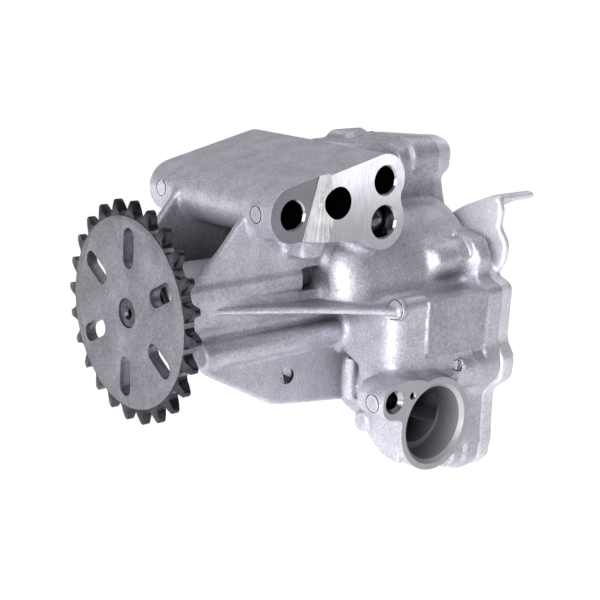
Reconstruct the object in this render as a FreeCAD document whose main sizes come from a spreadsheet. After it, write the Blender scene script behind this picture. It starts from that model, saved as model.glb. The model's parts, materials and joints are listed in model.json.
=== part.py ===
import FreeCAD, Part
import math
import os
import Sketcher

from FreeCAD import Placement, Rotation, Vector

# Engine oil pump: chain driven external gear pump in a die cast housing.
# Frame in millimetres: +X runs along the drive shaft from the sprocket to the rear cover,
# -Y is the sump side with the suction port, +Y is the crankcase side, +Z is up.
# The origin lies on the shaft axis in the middle of the sprocket's thickness.

doc = FreeCAD.newDocument("engine_oil_pump")
sheet = doc.addObject("Spreadsheet::Sheet", "Sizes")


class Size:
    """A length in millimetres, or a count, that remembers the sheet expression it comes from."""

    def __init__(self, value, text):
        self.value = float(value)
        self.text = text

    @staticmethod
    def of(other):
        """Give a Size for a plain number, and the Size itself unchanged."""
        if isinstance(other, Size):
            return other
        return Size(other, "(%.9g)" % other)

    def _join(self, other, sign, value):
        return Size(value, "(%s %s %s)" % (self.text, sign, other.text))

    def __add__(self, other):
        other = Size.of(other)
        return self._join(other, "+", self.value + other.value)

    def __sub__(self, other):
        other = Size.of(other)
        return self._join(other, "-", self.value - other.value)

    def __mul__(self, other):
        other = Size.of(other)
        return self._join(other, "*", self.value * other.value)

    def __truediv__(self, other):
        other = Size.of(other)
        return self._join(other, "/", self.value / other.value)

    def __radd__(self, other):
        return Size.of(other) + self

    def __rsub__(self, other):
        return Size.of(other) - self

    def __rmul__(self, other):
        return Size.of(other) * self

    def __neg__(self):
        return Size(-self.value, "(0 - %s)" % self.text)

    def __float__(self):
        return self.value


ROW = [0]


def new_size(alias, value):
    """Write one driving size into the sheet and return it as a Size."""
    ROW[0] += 1
    sheet.set("A%d" % ROW[0], alias)
    sheet.set("B%d" % ROW[0], str(value))
    sheet.setAlias("B%d" % ROW[0], alias)
    return Size(value, "Sizes.%s" % alias)


# Chain sprocket: 8 mm pitch chain, two millimetre side plates clear of the disc.
chain_pitch = new_size("chain_pitch", 8.0)
roller_diameter = new_size("roller_diameter", 5.0)
sprocket_teeth = new_size("sprocket_teeth", 24)
sprocket_tip_height = new_size("sprocket_tip_height", 2.15)
sprocket_tooth_width = new_size("sprocket_tooth_width", 3.2)
tooth_bevel_depth = new_size("tooth_bevel_depth", 3.0)
tooth_bevel_width = new_size("tooth_bevel_width", 0.7)
sprocket_disc_width = new_size("sprocket_disc_width", 3.6)
sprocket_disc_radius = new_size("sprocket_disc_radius", 28.1)
sprocket_slots = new_size("sprocket_slots", 6)
slot_length = new_size("slot_length", 11.8)
slot_width = new_size("slot_width", 5.4)
slot_circle_radius = new_size("slot_circle_radius", 19.2)
sprocket_rest_angle = new_size("sprocket_rest_angle", 2.5)
sprocket_hub_radius = new_size("sprocket_hub_radius", 9.0)

# Drive shaft and its bearings.
shaft_radius = new_size("shaft_radius", 6.0)
nose_radius = new_size("nose_radius", 4.35)
nose_recess = new_size("nose_recess", 0.4)
centre_drill_radius = new_size("centre_drill_radius", 1.1)
centre_drill_depth = new_size("centre_drill_depth", 3.0)
shaft_end_chamfer = new_size("shaft_end_chamfer", 0.5)
running_gap = new_size("running_gap", 0.03)
bush_wall = new_size("bush_wall", 1.0)
front_bush_length = new_size("front_bush_length", 18.0)
chamber_bush_length = new_size("chamber_bush_length", 16.0)
tunnel_bore_gap = new_size("tunnel_bore_gap", 0.6)
washer_thickness = new_size("washer_thickness", 1.0)
washer_radius = new_size("washer_radius", 10.5)
washer_hole_gap = new_size("washer_hole_gap", 0.3)
axial_gap = new_size("axial_gap", 0.05)
tunnel_front_x = new_size("tunnel_front_x", 4.5)
sprocket_hub_length = tunnel_front_x - sprocket_disc_width / 2 - axial_gap

# Gear set.
gear_module = new_size("gear_module", 2.5)
gear_teeth = new_size("gear_teeth", 12)
gear_pressure_angle = new_size("gear_pressure_angle", 25.0)
gear_backlash = new_size("gear_backlash", 0.16)
gear_root_gap = new_size("gear_root_gap", 0.6)
gear_tip_gap = new_size("gear_tip_gap", 0.06)
chamber_depth = new_size("chamber_depth", 20.0)
gear_bush_wall = new_size("gear_bush_wall", 1.25)
idler_radius = new_size("idler_radius", 5.0)
idler_seat_depth = new_size("idler_seat_depth", 12.0)
key_width = new_size("key_width", 4.0)
key_length = new_size("key_length", 14.0)
key_shaft_depth = new_size("key_shaft_depth", 2.2)
key_hub_depth = new_size("key_hub_depth", 1.6)

# Housing stations along the shaft.
joint_x = new_size("joint_x", 118.0)
flange_thickness = new_size("flange_thickness", 6.5)
cover_thickness = new_size("cover_thickness", 6.0)
cover_hub_height = new_size("cover_hub_height", 6.0)
cover_hub_radius = new_size("cover_hub_radius", 11.0)
dome_radius = new_size("dome_radius", 24.5)
dome_front_x = new_size("dome_front_x", 61.0)
tunnel_radius = new_size("tunnel_radius", 12.2)

# Arm with its bolt lobes.
lobe_a_x = new_size("lobe_a_x", 39.2)
lobe_a_z = new_size("lobe_a_z", 28.3)
lobe_a_radius = new_size("lobe_a_radius", 8.3)
lobe_b_x = new_size("lobe_b_x", 72.8)
lobe_b_z = new_size("lobe_b_z", 36.2)
lobe_b_radius = new_size("lobe_b_radius", 8.1)
lobe_c_z = new_size("lobe_c_z", 23.5)
lobe_c_radius = new_size("lobe_c_radius", 8.6)
mount_bore_radius = new_size("mount_bore_radius", 4.2)
oil_bore_x = new_size("oil_bore_x", 54.2)
oil_bore_z = new_size("oil_bore_z", 31.0)
oil_bore_radius = new_size("oil_bore_radius", 4.9)
oil_bore_depth = new_size("oil_bore_depth", 46.0)
ball_radius = new_size("ball_radius", 4.8)
ball_depth = new_size("ball_depth", 7.4)
seat_y = new_size("seat_y", 27.0)
lobe_a_drop = new_size("lobe_a_drop", 3.0)
mount_face_y = new_size("mount_face_y", 37.0)
sleeve_radius = new_size("sleeve_radius", 5.5)
sleeve_length = new_size("sleeve_length", 10.0)
sleeve_stand = new_size("sleeve_stand", 4.0)

# Suction port.
suction_x = new_size("suction_x", 84.9)
suction_z = new_size("suction_z", -39.3)
suction_face_y = new_size("suction_face_y", 42.0)
suction_bore_radius = new_size("suction_bore_radius", 11.9)
suction_ring_radius = new_size("suction_ring_radius", 15.0)
suction_bore_depth = new_size("suction_bore_depth", 10.0)
suction_throat_radius = new_size("suction_throat_radius", 10.4)
suction_throat_end_radius = new_size("suction_throat_end_radius", 8.5)
suction_throat_length = new_size("suction_throat_length", 14.0)
suction_throat_shift = new_size("suction_throat_shift", 1.3)
suction_neck_length = new_size("suction_neck_length", 16.0)
suction_wall = new_size("suction_wall", 2.2)
screw_x = new_size("screw_x", 66.3)
screw_z = new_size("screw_z", -28.7)
screw_hole_radius = new_size("screw_hole_radius", 2.5)
screw_hole_depth = new_size("screw_hole_depth", 10.0)
screw_lobe_radius = new_size("screw_lobe_radius", 5.2)
pin_hole_radius = new_size("pin_hole_radius", 0.85)

# Relief valve and pressure outlet.
valve_y = new_size("valve_y", 31.0)
valve_z = new_size("valve_z", -35.0)
valve_boss_radius = new_size("valve_boss_radius", 9.5)
piston_radius = new_size("piston_radius", 6.0)
piston_length = new_size("piston_length", 16.0)
piston_wall = new_size("piston_wall", 1.4)
piston_crown = new_size("piston_crown", 4.0)
piston_travel = new_size("piston_travel", 5.0)
piston_stop_gap = new_size("piston_stop_gap", 1.0)
valve_seat_x = new_size("valve_seat_x", 104.0)
plug_thread_radius = new_size("plug_thread_radius", 7.0)
plug_thread_length = new_size("plug_thread_length", 8.0)
valve_mouth_x = valve_seat_x - piston_length - piston_travel - piston_stop_gap - plug_thread_length
plug_head_height = new_size("plug_head_height", 5.0)
plug_across_flats = new_size("plug_across_flats", 13.0)
plug_washer_thickness = new_size("plug_washer_thickness", 1.2)
spring_wire_radius = new_size("spring_wire_radius", 0.6)
spring_coil_radius = new_size("spring_coil_radius", 3.55)
spring_turns = new_size("spring_turns", 6)
spring_wire_flats = new_size("spring_wire_flats", 8)
outlet_x = new_size("outlet_x", 107.0)
outlet_z = new_size("outlet_z", -16.0)
outlet_radius = new_size("outlet_radius", 5.5)
outlet_depth = new_size("outlet_depth", 20.0)
outlet_neck_radius = new_size("outlet_neck_radius", 4.5)
outlet_neck_floor = new_size("outlet_neck_floor", 8.0)
outlet_boss_radius = new_size("outlet_boss_radius", 10.5)

# Fasteners of the cover.
bolt_radius = new_size("bolt_radius", 3.0)
bolt_hole_gap = new_size("bolt_hole_gap", 0.35)
bolt_reach = new_size("bolt_reach", 10.0)
bolt_head_radius = new_size("bolt_head_radius", 5.6)
bolt_head_height = new_size("bolt_head_height", 3.0)
bolt_socket_across = new_size("bolt_socket_across", 4.0)
bolt_socket_depth = new_size("bolt_socket_depth", 2.2)
dowel_radius = new_size("dowel_radius", 3.0)
dowel_length = new_size("dowel_length", 11.0)

# Cover bolt places as (Y, Z), and dowel places.
BOLTS = (
    (0.5, 37.0),
    (-22.0, 7.4),
    (-31.5, -27.0),
    (-24.8, -58.4),
    (18.0, -44.5),
    (29.0, -6.0),
    (33.0, 35.6),
)
DOWELS = ((-26.0, -12.0), (20.0, 26.0))

YZ_TURN = Rotation(Vector(1, 1, 1), 120)
XZ_TURN = Rotation(Vector(1, 0, 0), 90)
PARTS = []


def bind(obj, prop, size):
    """Set one property from a Size and keep it bound to the sheet."""
    size = Size.of(size)
    if "Sizes." in size.text:
        obj.setExpression(prop, size.text)
    else:
        parent = obj
        names = prop.split(".")
        if len(names) == 1:
            setattr(parent, prop, size.value)
        else:
            place = Placement(obj.Placement)
            base = Vector(place.Base)
            setattr(base, names[-1], size.value)
            place.Base = base
            obj.Placement = place


def locate(obj, x=0.0, y=0.0, z=0.0, turn=None):
    """Place an object; each coordinate may be a Size and is then bound."""
    spots = [Size.of(x), Size.of(y), Size.of(z)]
    obj.Placement = Placement(Vector(*[spot.value for spot in spots]), turn or Rotation())
    for name, spot in zip("xyz", spots):
        if "Sizes." in spot.text:
            obj.setExpression("Placement.Base.%s" % name, spot.text)
    return obj


def cylinder(name, radius, length, x=0.0, y=0.0, z=0.0, axis="X"):
    """A cylinder that starts at a point and runs along +X, +Y or +Z."""
    turns = {
        "X": Rotation(Vector(0, 1, 0), 90),
        "Y": Rotation(Vector(1, 0, 0), -90),
        "Z": Rotation(),
    }
    obj = doc.addObject("Part::Cylinder", name)
    bind(obj, "Radius", radius)
    bind(obj, "Height", length)
    return locate(obj, x, y, z, turns[axis])


def cone(name, radius1, radius2, length, x=0.0, y=0.0, z=0.0, axis="X"):
    """A cone that starts at a point and runs along +X or +Y."""
    turns = {"X": Rotation(Vector(0, 1, 0), 90), "Y": Rotation(Vector(1, 0, 0), -90)}
    obj = doc.addObject("Part::Cone", name)
    bind(obj, "Radius1", radius1)
    bind(obj, "Radius2", radius2)
    bind(obj, "Height", length)
    return locate(obj, x, y, z, turns[axis])


def sphere(name, radius, x=0.0, y=0.0, z=0.0):
    """A ball about a point."""
    obj = doc.addObject("Part::Sphere", name)
    bind(obj, "Radius", radius)
    return locate(obj, x, y, z)


def block(name, x, y, z, length, width, height):
    """A box from its low corner."""
    obj = doc.addObject("Part::Box", name)
    bind(obj, "Length", length)
    bind(obj, "Width", width)
    bind(obj, "Height", height)
    return locate(obj, x, y, z)


def outline_edges(points):
    """Lines and corner arcs of a closed outline whose points are (a, b) or (a, b, corner radius)."""
    count = len(points)
    joints = []
    for i, point in enumerate(points):
        here = Vector(float(point[0]), float(point[1]), 0)
        before = Vector(float(points[i - 1][0]), float(points[i - 1][1]), 0)
        after = Vector(float(points[(i + 1) % count][0]), float(points[(i + 1) % count][1]), 0)
        radius = float(point[2]) if len(point) > 2 else 0.0
        to_before = (before - here).normalize()
        to_after = (after - here).normalize()
        half = to_before.getAngle(to_after) / 2
        if radius <= 0 or half > math.pi / 2 - 0.01:
            joints.append((here, here, None))
            continue
        reach = radius / math.tan(half)
        limit = 0.49 * min((before - here).Length, (after - here).Length)
        if reach > limit:
            reach = limit
            radius = reach * math.tan(half)
        start = here + to_before * reach
        end = here + to_after * reach
        bisector = (to_before + to_after).normalize()
        centre = here + bisector * (radius / math.sin(half))
        middle = centre - bisector * radius
        joints.append((start, end, middle))
    edges = []
    for i, (start, end, middle) in enumerate(joints):
        if middle is not None:
            edges.append(Part.Arc(start, middle, end))
        following = joints[(i + 1) % count][0]
        if (following - end).Length > 1e-6:
            edges.append(Part.LineSegment(end, following))
    return edges


def arc_to_circle_arc(edge):
    """The sketcher takes an arc of circle where three points gave a plain arc."""
    shape = edge.toShape()
    curve = shape.Curve
    if isinstance(curve, Part.Line):
        return edge
    return Part.ArcOfCircle(curve, shape.FirstParameter, shape.LastParameter)


def add_outline(sketch, points):
    """Draw a closed outline into a sketch and join its ends."""
    edges = [arc_to_circle_arc(edge) for edge in outline_edges(points)]
    first = sketch.GeometryCount
    sketch.addGeometry(edges, False)
    return first


PLANES = {
    "XY": (Rotation(), Vector(0, 0, 1)),
    "XZ": (XZ_TURN, Vector(0, 1, 0)),
    "YZ": (YZ_TURN, Vector(1, 0, 0)),
}


def prism(name, plane, points, start, length, taper=0.0):
    """A sketch outline on a plane parallel to a main plane, extruded along its axis."""
    turn, axis = PLANES[plane]
    sketch = doc.addObject("Sketcher::SketchObject", name + "_sketch")
    add_outline(sketch, points)
    spot = {"XY": (0, 0, start), "XZ": (0, start, 0), "YZ": (start, 0, 0)}[plane]
    locate(sketch, spot[0], spot[1], spot[2], turn)
    obj = doc.addObject("Part::Extrusion", name)
    obj.Base = sketch
    obj.DirMode = "Custom"
    obj.Dir = axis
    obj.Solid = True
    obj.TaperAngle = taper
    bind(obj, "LengthFwd", length)
    return obj


def softened(name, base, radius, keep):
    """Round the edges of one simple solid that the test keeps."""
    doc.recompute()
    obj = doc.addObject("Part::Fillet", name)
    obj.Base = base
    numbers = [i + 1 for i, edge in enumerate(base.Shape.Edges) if keep(edge)]
    obj.Edges = [(number, radius, radius) for number in numbers]
    return obj


def union(name, pieces):
    """One solid from many."""
    obj = doc.addObject("Part::MultiFuse", name)
    obj.Shapes = pieces
    return obj


def difference(name, base, tool):
    """Base without tool."""
    obj = doc.addObject("Part::Cut", name)
    obj.Base = base
    obj.Tool = tool
    obj.Refine = False
    return obj


def finish(obj, label):
    """Give a sub-part its node name."""
    obj.Label = label
    PARTS.append(obj)
    return obj


def body_sketch(body, name, role, offset=None):
    """A sketch on one of the body's own origin planes, moved along its normal by an offset."""
    sketch = body.newObject("Sketcher::SketchObject", name)
    plane = [item for item in body.Origin.OriginFeatures if item.Role == role][0]
    sketch.AttachmentSupport = [(plane, "")]
    sketch.MapMode = "FlatFace"
    if offset is not None:
        offset = Size.of(offset)
        sketch.AttachmentOffset = Placement(Vector(0, 0, offset.value), Rotation())
        if "Sizes." in offset.text:
            sketch.setExpression("AttachmentOffset.Base.z", offset.text)
    return sketch


def pin_point(sketch, geometry, end, across, up):
    """Tie one end of a sketch line to the sketch origin by two bound distances."""
    for kind, size in (("DistanceX", Size.of(across)), ("DistanceY", Size.of(up))):
        if abs(size.value) < 1e-9 and "Sizes." not in size.text:
            axis = -2 if kind == "DistanceX" else -1
            sketch.addConstraint(Sketcher.Constraint("PointOnObject", geometry, end, axis))
            continue
        number = sketch.addConstraint(Sketcher.Constraint(kind, -1, 1, geometry, end, size.value))
        if "Sizes." in size.text:
            sketch.setExpression("Constraints[%d]" % number, size.text)


def turned_body(name, profile):
    """A turned piece: a profile of (x, radius) points revolved about its own X axis."""
    body = doc.addObject("PartDesign::Body", name)
    sketch = body_sketch(body, name + "_profile", "XZ_Plane")
    count = len(profile)
    spots = [(Size.of(a), Size.of(b)) for a, b in profile]
    for i in range(count):
        here = Vector(spots[i][0].value, spots[i][1].value, 0)
        following = spots[(i + 1) % count]
        there = Vector(following[0].value, following[1].value, 0)
        sketch.addGeometry(Part.LineSegment(here, there), False)
    for i in range(count):
        sketch.addConstraint(Sketcher.Constraint("Coincident", i, 2, (i + 1) % count, 1))
    for i in range(count):
        pin_point(sketch, i, 1, spots[i][0], spots[i][1])
    turn = body.newObject("PartDesign::Revolution", name + "_turn")
    turn.Profile = sketch
    turn.ReferenceAxis = (sketch, ["H_Axis"])
    turn.Angle = 360.0
    doc.recompute()
    return body


def pad(body, name, sketch, length):
    """Pad a body's sketch along its normal."""
    feature = body.newObject("PartDesign::Pad", name)
    feature.Profile = sketch
    bind(feature, "Length", length)
    return feature


def pocket(body, name, sketch, length, reverse):
    """Cut a body's sketch along or against its normal."""
    feature = body.newObject("PartDesign::Pocket", name)
    feature.Profile = sketch
    bind(feature, "Length", length)
    feature.Reversed = reverse
    return feature


def circle(sketch, radius, across=0.0, up=0.0):
    """A circle in a sketch, bound in radius and centre."""
    radius = Size.of(radius)
    across = Size.of(across)
    up = Size.of(up)
    number = sketch.addGeometry(
        Part.Circle(Vector(across.value, up.value, 0), Vector(0, 0, 1), radius.value), False
    )
    size = sketch.addConstraint(Sketcher.Constraint("Radius", number, radius.value))
    if "Sizes." in radius.text:
        sketch.setExpression("Constraints[%d]" % size, radius.text)
    pin_point(sketch, number, 3, across, up)
    return number


def cut_check(body, before, what):
    """Stop when a cut took nothing away."""
    doc.recompute()
    if not body.Shape.Volume < before - 1e-3:
        raise RuntimeError("%s cut nothing from %s" % (what, body.Label))


# Chain sprocket. Its tooth gaps are arcs of the roller's radius on the pitch circle, with
# straight flanks that open towards the tips; the disc inside the teeth stands proud.
def sprocket_outline():
    """Closed outline of the toothed plate in (Y, Z)."""
    count = int(sprocket_teeth.value)
    pitch_radius = chain_pitch.value / (2 * math.sin(math.pi / count))
    seat = roller_diameter.value / 2 + 0.08
    tip_radius = pitch_radius + sprocket_tip_height.value
    edges = []
    step = 2 * math.pi / count
    wrap = math.radians(62)
    lean = math.radians(20)
    shoulder = tip_radius - 0.4
    ends = []
    for i in range(count):
        mid = (i + 0.5) * step
        centre = Vector(pitch_radius * math.cos(mid), pitch_radius * math.sin(mid), 0)

        def point_at(angle):
            return centre + Vector(math.cos(angle), math.sin(angle), 0) * seat

        inward = mid + math.pi
        low = point_at(inward + wrap)
        bottom = point_at(inward)
        high = point_at(inward - wrap)
        tips = []
        for sign, foot in ((1, low), (-1, high)):
            heading = mid - sign * lean
            direction = Vector(math.cos(heading), math.sin(heading), 0)
            reach = (shoulder - foot.Length) * 1.05
            for _ in range(30):
                reach += (shoulder - (foot + direction * reach).Length) * 0.9
            tip = foot + direction * reach
            bulge = Vector(math.sin(heading), -math.cos(heading), 0) * (sign * -0.07)
            tips.append((tip, (foot + tip) * 0.5 + bulge))
        edges.append(Part.Arc(tips[0][0], tips[0][1], low))
        edges.append(Part.Arc(low, bottom, high))
        edges.append(Part.Arc(high, tips[1][1], tips[1][0]))
        tips = [tips[0][0], tips[1][0]]
        ends.append((tips[0], tips[1]))
    for i in range(count):
        start = ends[i][1]
        end = ends[(i + 1) % count][0]
        angle = (i + 1) * step
        middle = Vector(tip_radius * math.cos(angle), tip_radius * math.sin(angle), 0)
        edges.append(Part.Arc(start, middle, end))
    return edges


sprocket = doc.addObject("PartDesign::Body", "sprocket")
ring = body_sketch(sprocket, "sprocket_teeth_sketch", "YZ_Plane", -sprocket_tooth_width / 2)
ring.addGeometry([arc_to_circle_arc(edge) for edge in sprocket_outline()], False)
pad(sprocket, "toothed_plate", ring, sprocket_tooth_width)
disc = body_sketch(sprocket, "sprocket_disc_sketch", "YZ_Plane", -sprocket_disc_width / 2)
circle(disc, sprocket_disc_radius)
pad(sprocket, "raised_disc", disc, sprocket_disc_width)
hub = body_sketch(sprocket, "sprocket_hub_sketch", "YZ_Plane", sprocket_disc_width / 2)
circle(hub, sprocket_hub_radius)
pad(sprocket, "sprocket_hub", hub, sprocket_hub_length)
doc.recompute()
volume = sprocket.Shape.Volume
nose_seat = body_sketch(sprocket, "sprocket_bore_sketch", "YZ_Plane", -sprocket_disc_width / 2)
circle(nose_seat, nose_radius)
pocket(sprocket, "sprocket_bore", nose_seat, sprocket_disc_width + sprocket_hub_length, True)
cut_check(sprocket, volume, "bore")
volume = sprocket.Shape.Volume
bevel = body_sketch(sprocket, "tooth_bevel_sketch", "XZ_Plane")
tip_reach = chain_pitch.value / (2 * math.sin(math.pi / sprocket_teeth.value)) + sprocket_tip_height.value
for side in (-1, 1):
    corners = (
        (side * sprocket_tooth_width.value / 2, tip_reach - tooth_bevel_depth.value),
        (side * (sprocket_tooth_width.value / 2 + 1.0), tip_reach - tooth_bevel_depth.value),
        (side * (sprocket_tooth_width.value / 2 + 1.0), tip_reach + 1.0),
        (side * (sprocket_tooth_width.value / 2 - tooth_bevel_width.value), tip_reach + 1.0),
        (side * (sprocket_tooth_width.value / 2 - tooth_bevel_width.value), tip_reach),
    )
    bevel.addGeometry(outline_edges(corners), False)
groove = sprocket.newObject("PartDesign::Groove", "tooth_bevel")
groove.Profile = bevel
groove.ReferenceAxis = (bevel, ["H_Axis"])
groove.Angle = 360.0
cut_check(sprocket, volume, "bevel")
volume = sprocket.Shape.Volume
slot = body_sketch(sprocket, "sprocket_slot_sketch", "YZ_Plane", -sprocket_disc_width / 2)
half_run = (slot_length.value - slot_width.value) / 2
slot_radius = slot_width.value / 2
inner = slot_circle_radius.value - half_run
outer = slot_circle_radius.value + half_run
slot.addGeometry(
    [
        Part.LineSegment(Vector(inner, -slot_radius, 0), Vector(outer, -slot_radius, 0)),
        Part.ArcOfCircle(
            Part.Circle(Vector(outer, 0, 0), Vector(0, 0, 1), slot_radius), -math.pi / 2, math.pi / 2
        ),
        Part.LineSegment(Vector(outer, slot_radius, 0), Vector(inner, slot_radius, 0)),
        Part.ArcOfCircle(
            Part.Circle(Vector(inner, 0, 0), Vector(0, 0, 1), slot_radius), math.pi / 2, 3 * math.pi / 2
        ),
    ],
    False,
)
slot_cut = pocket(sprocket, "sprocket_slot", slot, sprocket_disc_width, True)
cut_check(sprocket, volume, "slot")
slots = sprocket.newObject("PartDesign::PolarPattern", "sprocket_slot_circle")
slots.Originals = [slot_cut]
slots.Axis = (ring, ["N_Axis"])
slots.Angle = 360.0
bind(slots, "Occurrences", sprocket_slots)
sprocket.Tip = slots
locate(sprocket, turn=Rotation(Vector(1, 0, 0), 90 + sprocket_rest_angle.value))
finish(sprocket, "drive_sprocket")

# Drive shaft: nose pressed into the sprocket, one long journal, centre drilling in the nose.
nose_start = nose_recess - sprocket_disc_width / 2
hub_end = sprocket_disc_width / 2 + sprocket_hub_length
cover_back = joint_x + cover_thickness + cover_hub_height
shaft_end = cover_back - 1.5
shaft = turned_body(
    "shaft",
    (
        (nose_start + centre_drill_depth, 0.0),
        (nose_start + centre_drill_depth, centre_drill_radius),
        (nose_start + 0.8, centre_drill_radius),
        (nose_start, centre_drill_radius * 1.8),
        (nose_start, nose_radius - 0.3),
        (nose_start + 0.3, nose_radius),
        (hub_end, nose_radius),
        (hub_end, shaft_radius),
        (shaft_end - shaft_end_chamfer, shaft_radius),
        (shaft_end, shaft_radius - shaft_end_chamfer),
        (shaft_end, 0.0),
    ),
)
gear_start = joint_x - chamber_depth + axial_gap
gear_width = chamber_depth - axial_gap * 2
key_start = gear_start + (gear_width - key_length) / 2
volume = shaft.Shape.Volume
keyway = body_sketch(shaft, "keyway_sketch", "YZ_Plane", key_start)
rim = shaft_radius.value + 1
floor = shaft_radius.value - key_shaft_depth.value
half_key = key_width.value / 2
keyway.addGeometry(
    outline_edges(((-half_key, floor), (half_key, floor), (half_key, rim), (-half_key, rim))), False
)
pocket(shaft, "keyway", keyway, key_length, True)
cut_check(shaft, volume, "keyway")
finish(shaft, "drive_shaft")

key = block(
    "key",
    key_start,
    -key_width / 2,
    shaft_radius - key_shaft_depth,
    key_length,
    key_width,
    key_shaft_depth + key_hub_depth,
)
finish(key, "gear_key")


# Pump gears: involute teeth, thinned for backlash, straight radial roots.
def gear_outline():
    """Closed outline of one gear in (Y, Z) with a tooth on the first axis."""
    count = int(gear_teeth.value)
    module = gear_module.value
    pressure = math.radians(gear_pressure_angle.value)
    pitch = module * count / 2
    base = pitch * math.cos(pressure)
    tip = pitch + module
    root = pitch - module - gear_root_gap.value
    half_pitch = math.pi / (2 * count) - gear_backlash.value / (4 * pitch)
    involute = math.tan(pressure) - pressure
    flank = []
    low = max(base, root)
    for i in range(9):
        radius = low + (tip - low) * i / 8
        turn = math.acos(min(1.0, base / radius))
        flank.append((radius, half_pitch + involute - (math.tan(turn) - turn)))
    edges = []
    step = 2 * math.pi / count

    def at(radius, angle):
        return Vector(radius * math.cos(angle), radius * math.sin(angle), 0)

    for i in range(count):
        centre = i * step
        rising = [at(radius, centre - angle) for radius, angle in flank]
        falling = [at(radius, centre + angle) for radius, angle in reversed(flank)]
        foot_angle = flank[0][1]
        edges.append(Part.LineSegment(at(root, centre - foot_angle), rising[0]))
        curve = Part.BSplineCurve()
        curve.interpolate(rising)
        edges.append(curve)
        edges.append(Part.Arc(rising[-1], at(tip, centre), falling[0]))
        curve = Part.BSplineCurve()
        curve.interpolate(falling)
        edges.append(curve)
        edges.append(Part.LineSegment(falling[-1], at(root, centre + foot_angle)))
        gap = centre + step / 2
        edges.append(
            Part.Arc(at(root, centre + foot_angle), at(root, gap), at(root, centre + step - foot_angle))
        )
    return [edge if isinstance(edge, Part.BSplineCurve) else arc_to_circle_arc(edge) for edge in edges]


def gear_body(name, bore):
    """A spur gear with its bore, standing on its own YZ plane and running along +X."""
    body = doc.addObject("PartDesign::Body", name)
    teeth = body_sketch(body, name + "_teeth_sketch", "YZ_Plane")
    teeth.addGeometry(gear_outline(), False)
    pad(body, name + "_teeth", teeth, gear_width)
    doc.recompute()
    before = body.Shape.Volume
    hole = body_sketch(body, name + "_bore_sketch", "YZ_Plane")
    circle(hole, bore)
    pocket(body, name + "_bore", hole, gear_width, True)
    cut_check(body, before, "bore")
    return body


drive_gear = gear_body("drive", shaft_radius)
volume = drive_gear.Shape.Volume
slotting = body_sketch(drive_gear, "drive_keyway_sketch", "YZ_Plane")
top = shaft_radius.value + key_hub_depth.value
slotting.addGeometry(
    outline_edges(((-half_key, 0.0), (half_key, 0.0), (half_key, top), (-half_key, top))), False
)
pocket(drive_gear, "drive_keyway", slotting, gear_width, True)
cut_check(drive_gear, volume, "keyway")
locate(drive_gear, gear_start)
finish(drive_gear, "drive_gear")

gear_centres = gear_module * gear_teeth
driven_gear = gear_body("driven", idler_radius + running_gap + gear_bush_wall)
half_tooth = 180.0 / gear_teeth.value
locate(driven_gear, gear_start, 0, -gear_centres, Rotation(Vector(1, 0, 0), half_tooth))
finish(driven_gear, "driven_gear")


def bush(name, label, inner, wall, length, x, z=0.0):
    """A plain bearing bush on the X axis."""
    body = turned_body(name, ((0.0, inner), (length, inner), (length, inner + wall), (0.0, inner + wall)))
    locate(body, x, 0, z)
    return finish(body, label)


journal = shaft_radius + running_gap
bush(
    "gear_bush",
    "driven_gear_bush",
    idler_radius + running_gap,
    gear_bush_wall,
    gear_width,
    gear_start,
    -gear_centres,
)
bush("bush_front", "front_bush", journal, bush_wall, front_bush_length, tunnel_front_x + washer_thickness)
chamber_floor = joint_x - chamber_depth
bush(
    "bush_chamber",
    "chamber_bush",
    journal,
    bush_wall,
    chamber_bush_length,
    chamber_floor - chamber_bush_length - 0.5,
)
cover_bush_length = cover_thickness + cover_hub_height - 2.0
bush("bush_cover", "cover_bush", journal, bush_wall, cover_bush_length, joint_x + 0.5)

idler_start = chamber_floor - idler_seat_depth
idler_length = idler_seat_depth + chamber_depth + cover_thickness + cover_hub_height - 3.0
idler = turned_body(
    "idler",
    (
        (0.0, 0.0),
        (0.0, idler_radius - shaft_end_chamfer),
        (shaft_end_chamfer, idler_radius),
        (idler_length - shaft_end_chamfer, idler_radius),
        (idler_length, idler_radius - shaft_end_chamfer),
        (idler_length, 0.0),
    ),
)
locate(idler, idler_start, 0, -gear_centres)
finish(idler, "idler_shaft")

washer = turned_body(
    "washer",
    (
        (0.0, shaft_radius + washer_hole_gap),
        (washer_thickness, shaft_radius + washer_hole_gap),
        (washer_thickness, washer_radius),
        (0.0, washer_radius),
    ),
)
locate(washer, tunnel_front_x)
finish(washer, "thrust_washer")

# Relief valve: hollow piston pressed towards the seat by a spring that rests on a screw plug.
valve_end = valve_seat_x - piston_length
piston = turned_body(
    "piston",
    (
        (0.0, piston_radius - piston_wall),
        (piston_length - piston_crown, piston_radius - piston_wall),
        (piston_length - piston_crown, 0.0),
        (piston_length, 0.0),
        (piston_length, piston_radius - 1.0),
        (piston_length - 1.0, piston_radius),
        (0.0, piston_radius),
    ),
)
locate(piston, valve_end, valve_y, valve_z)
finish(piston, "relief_piston")

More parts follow.
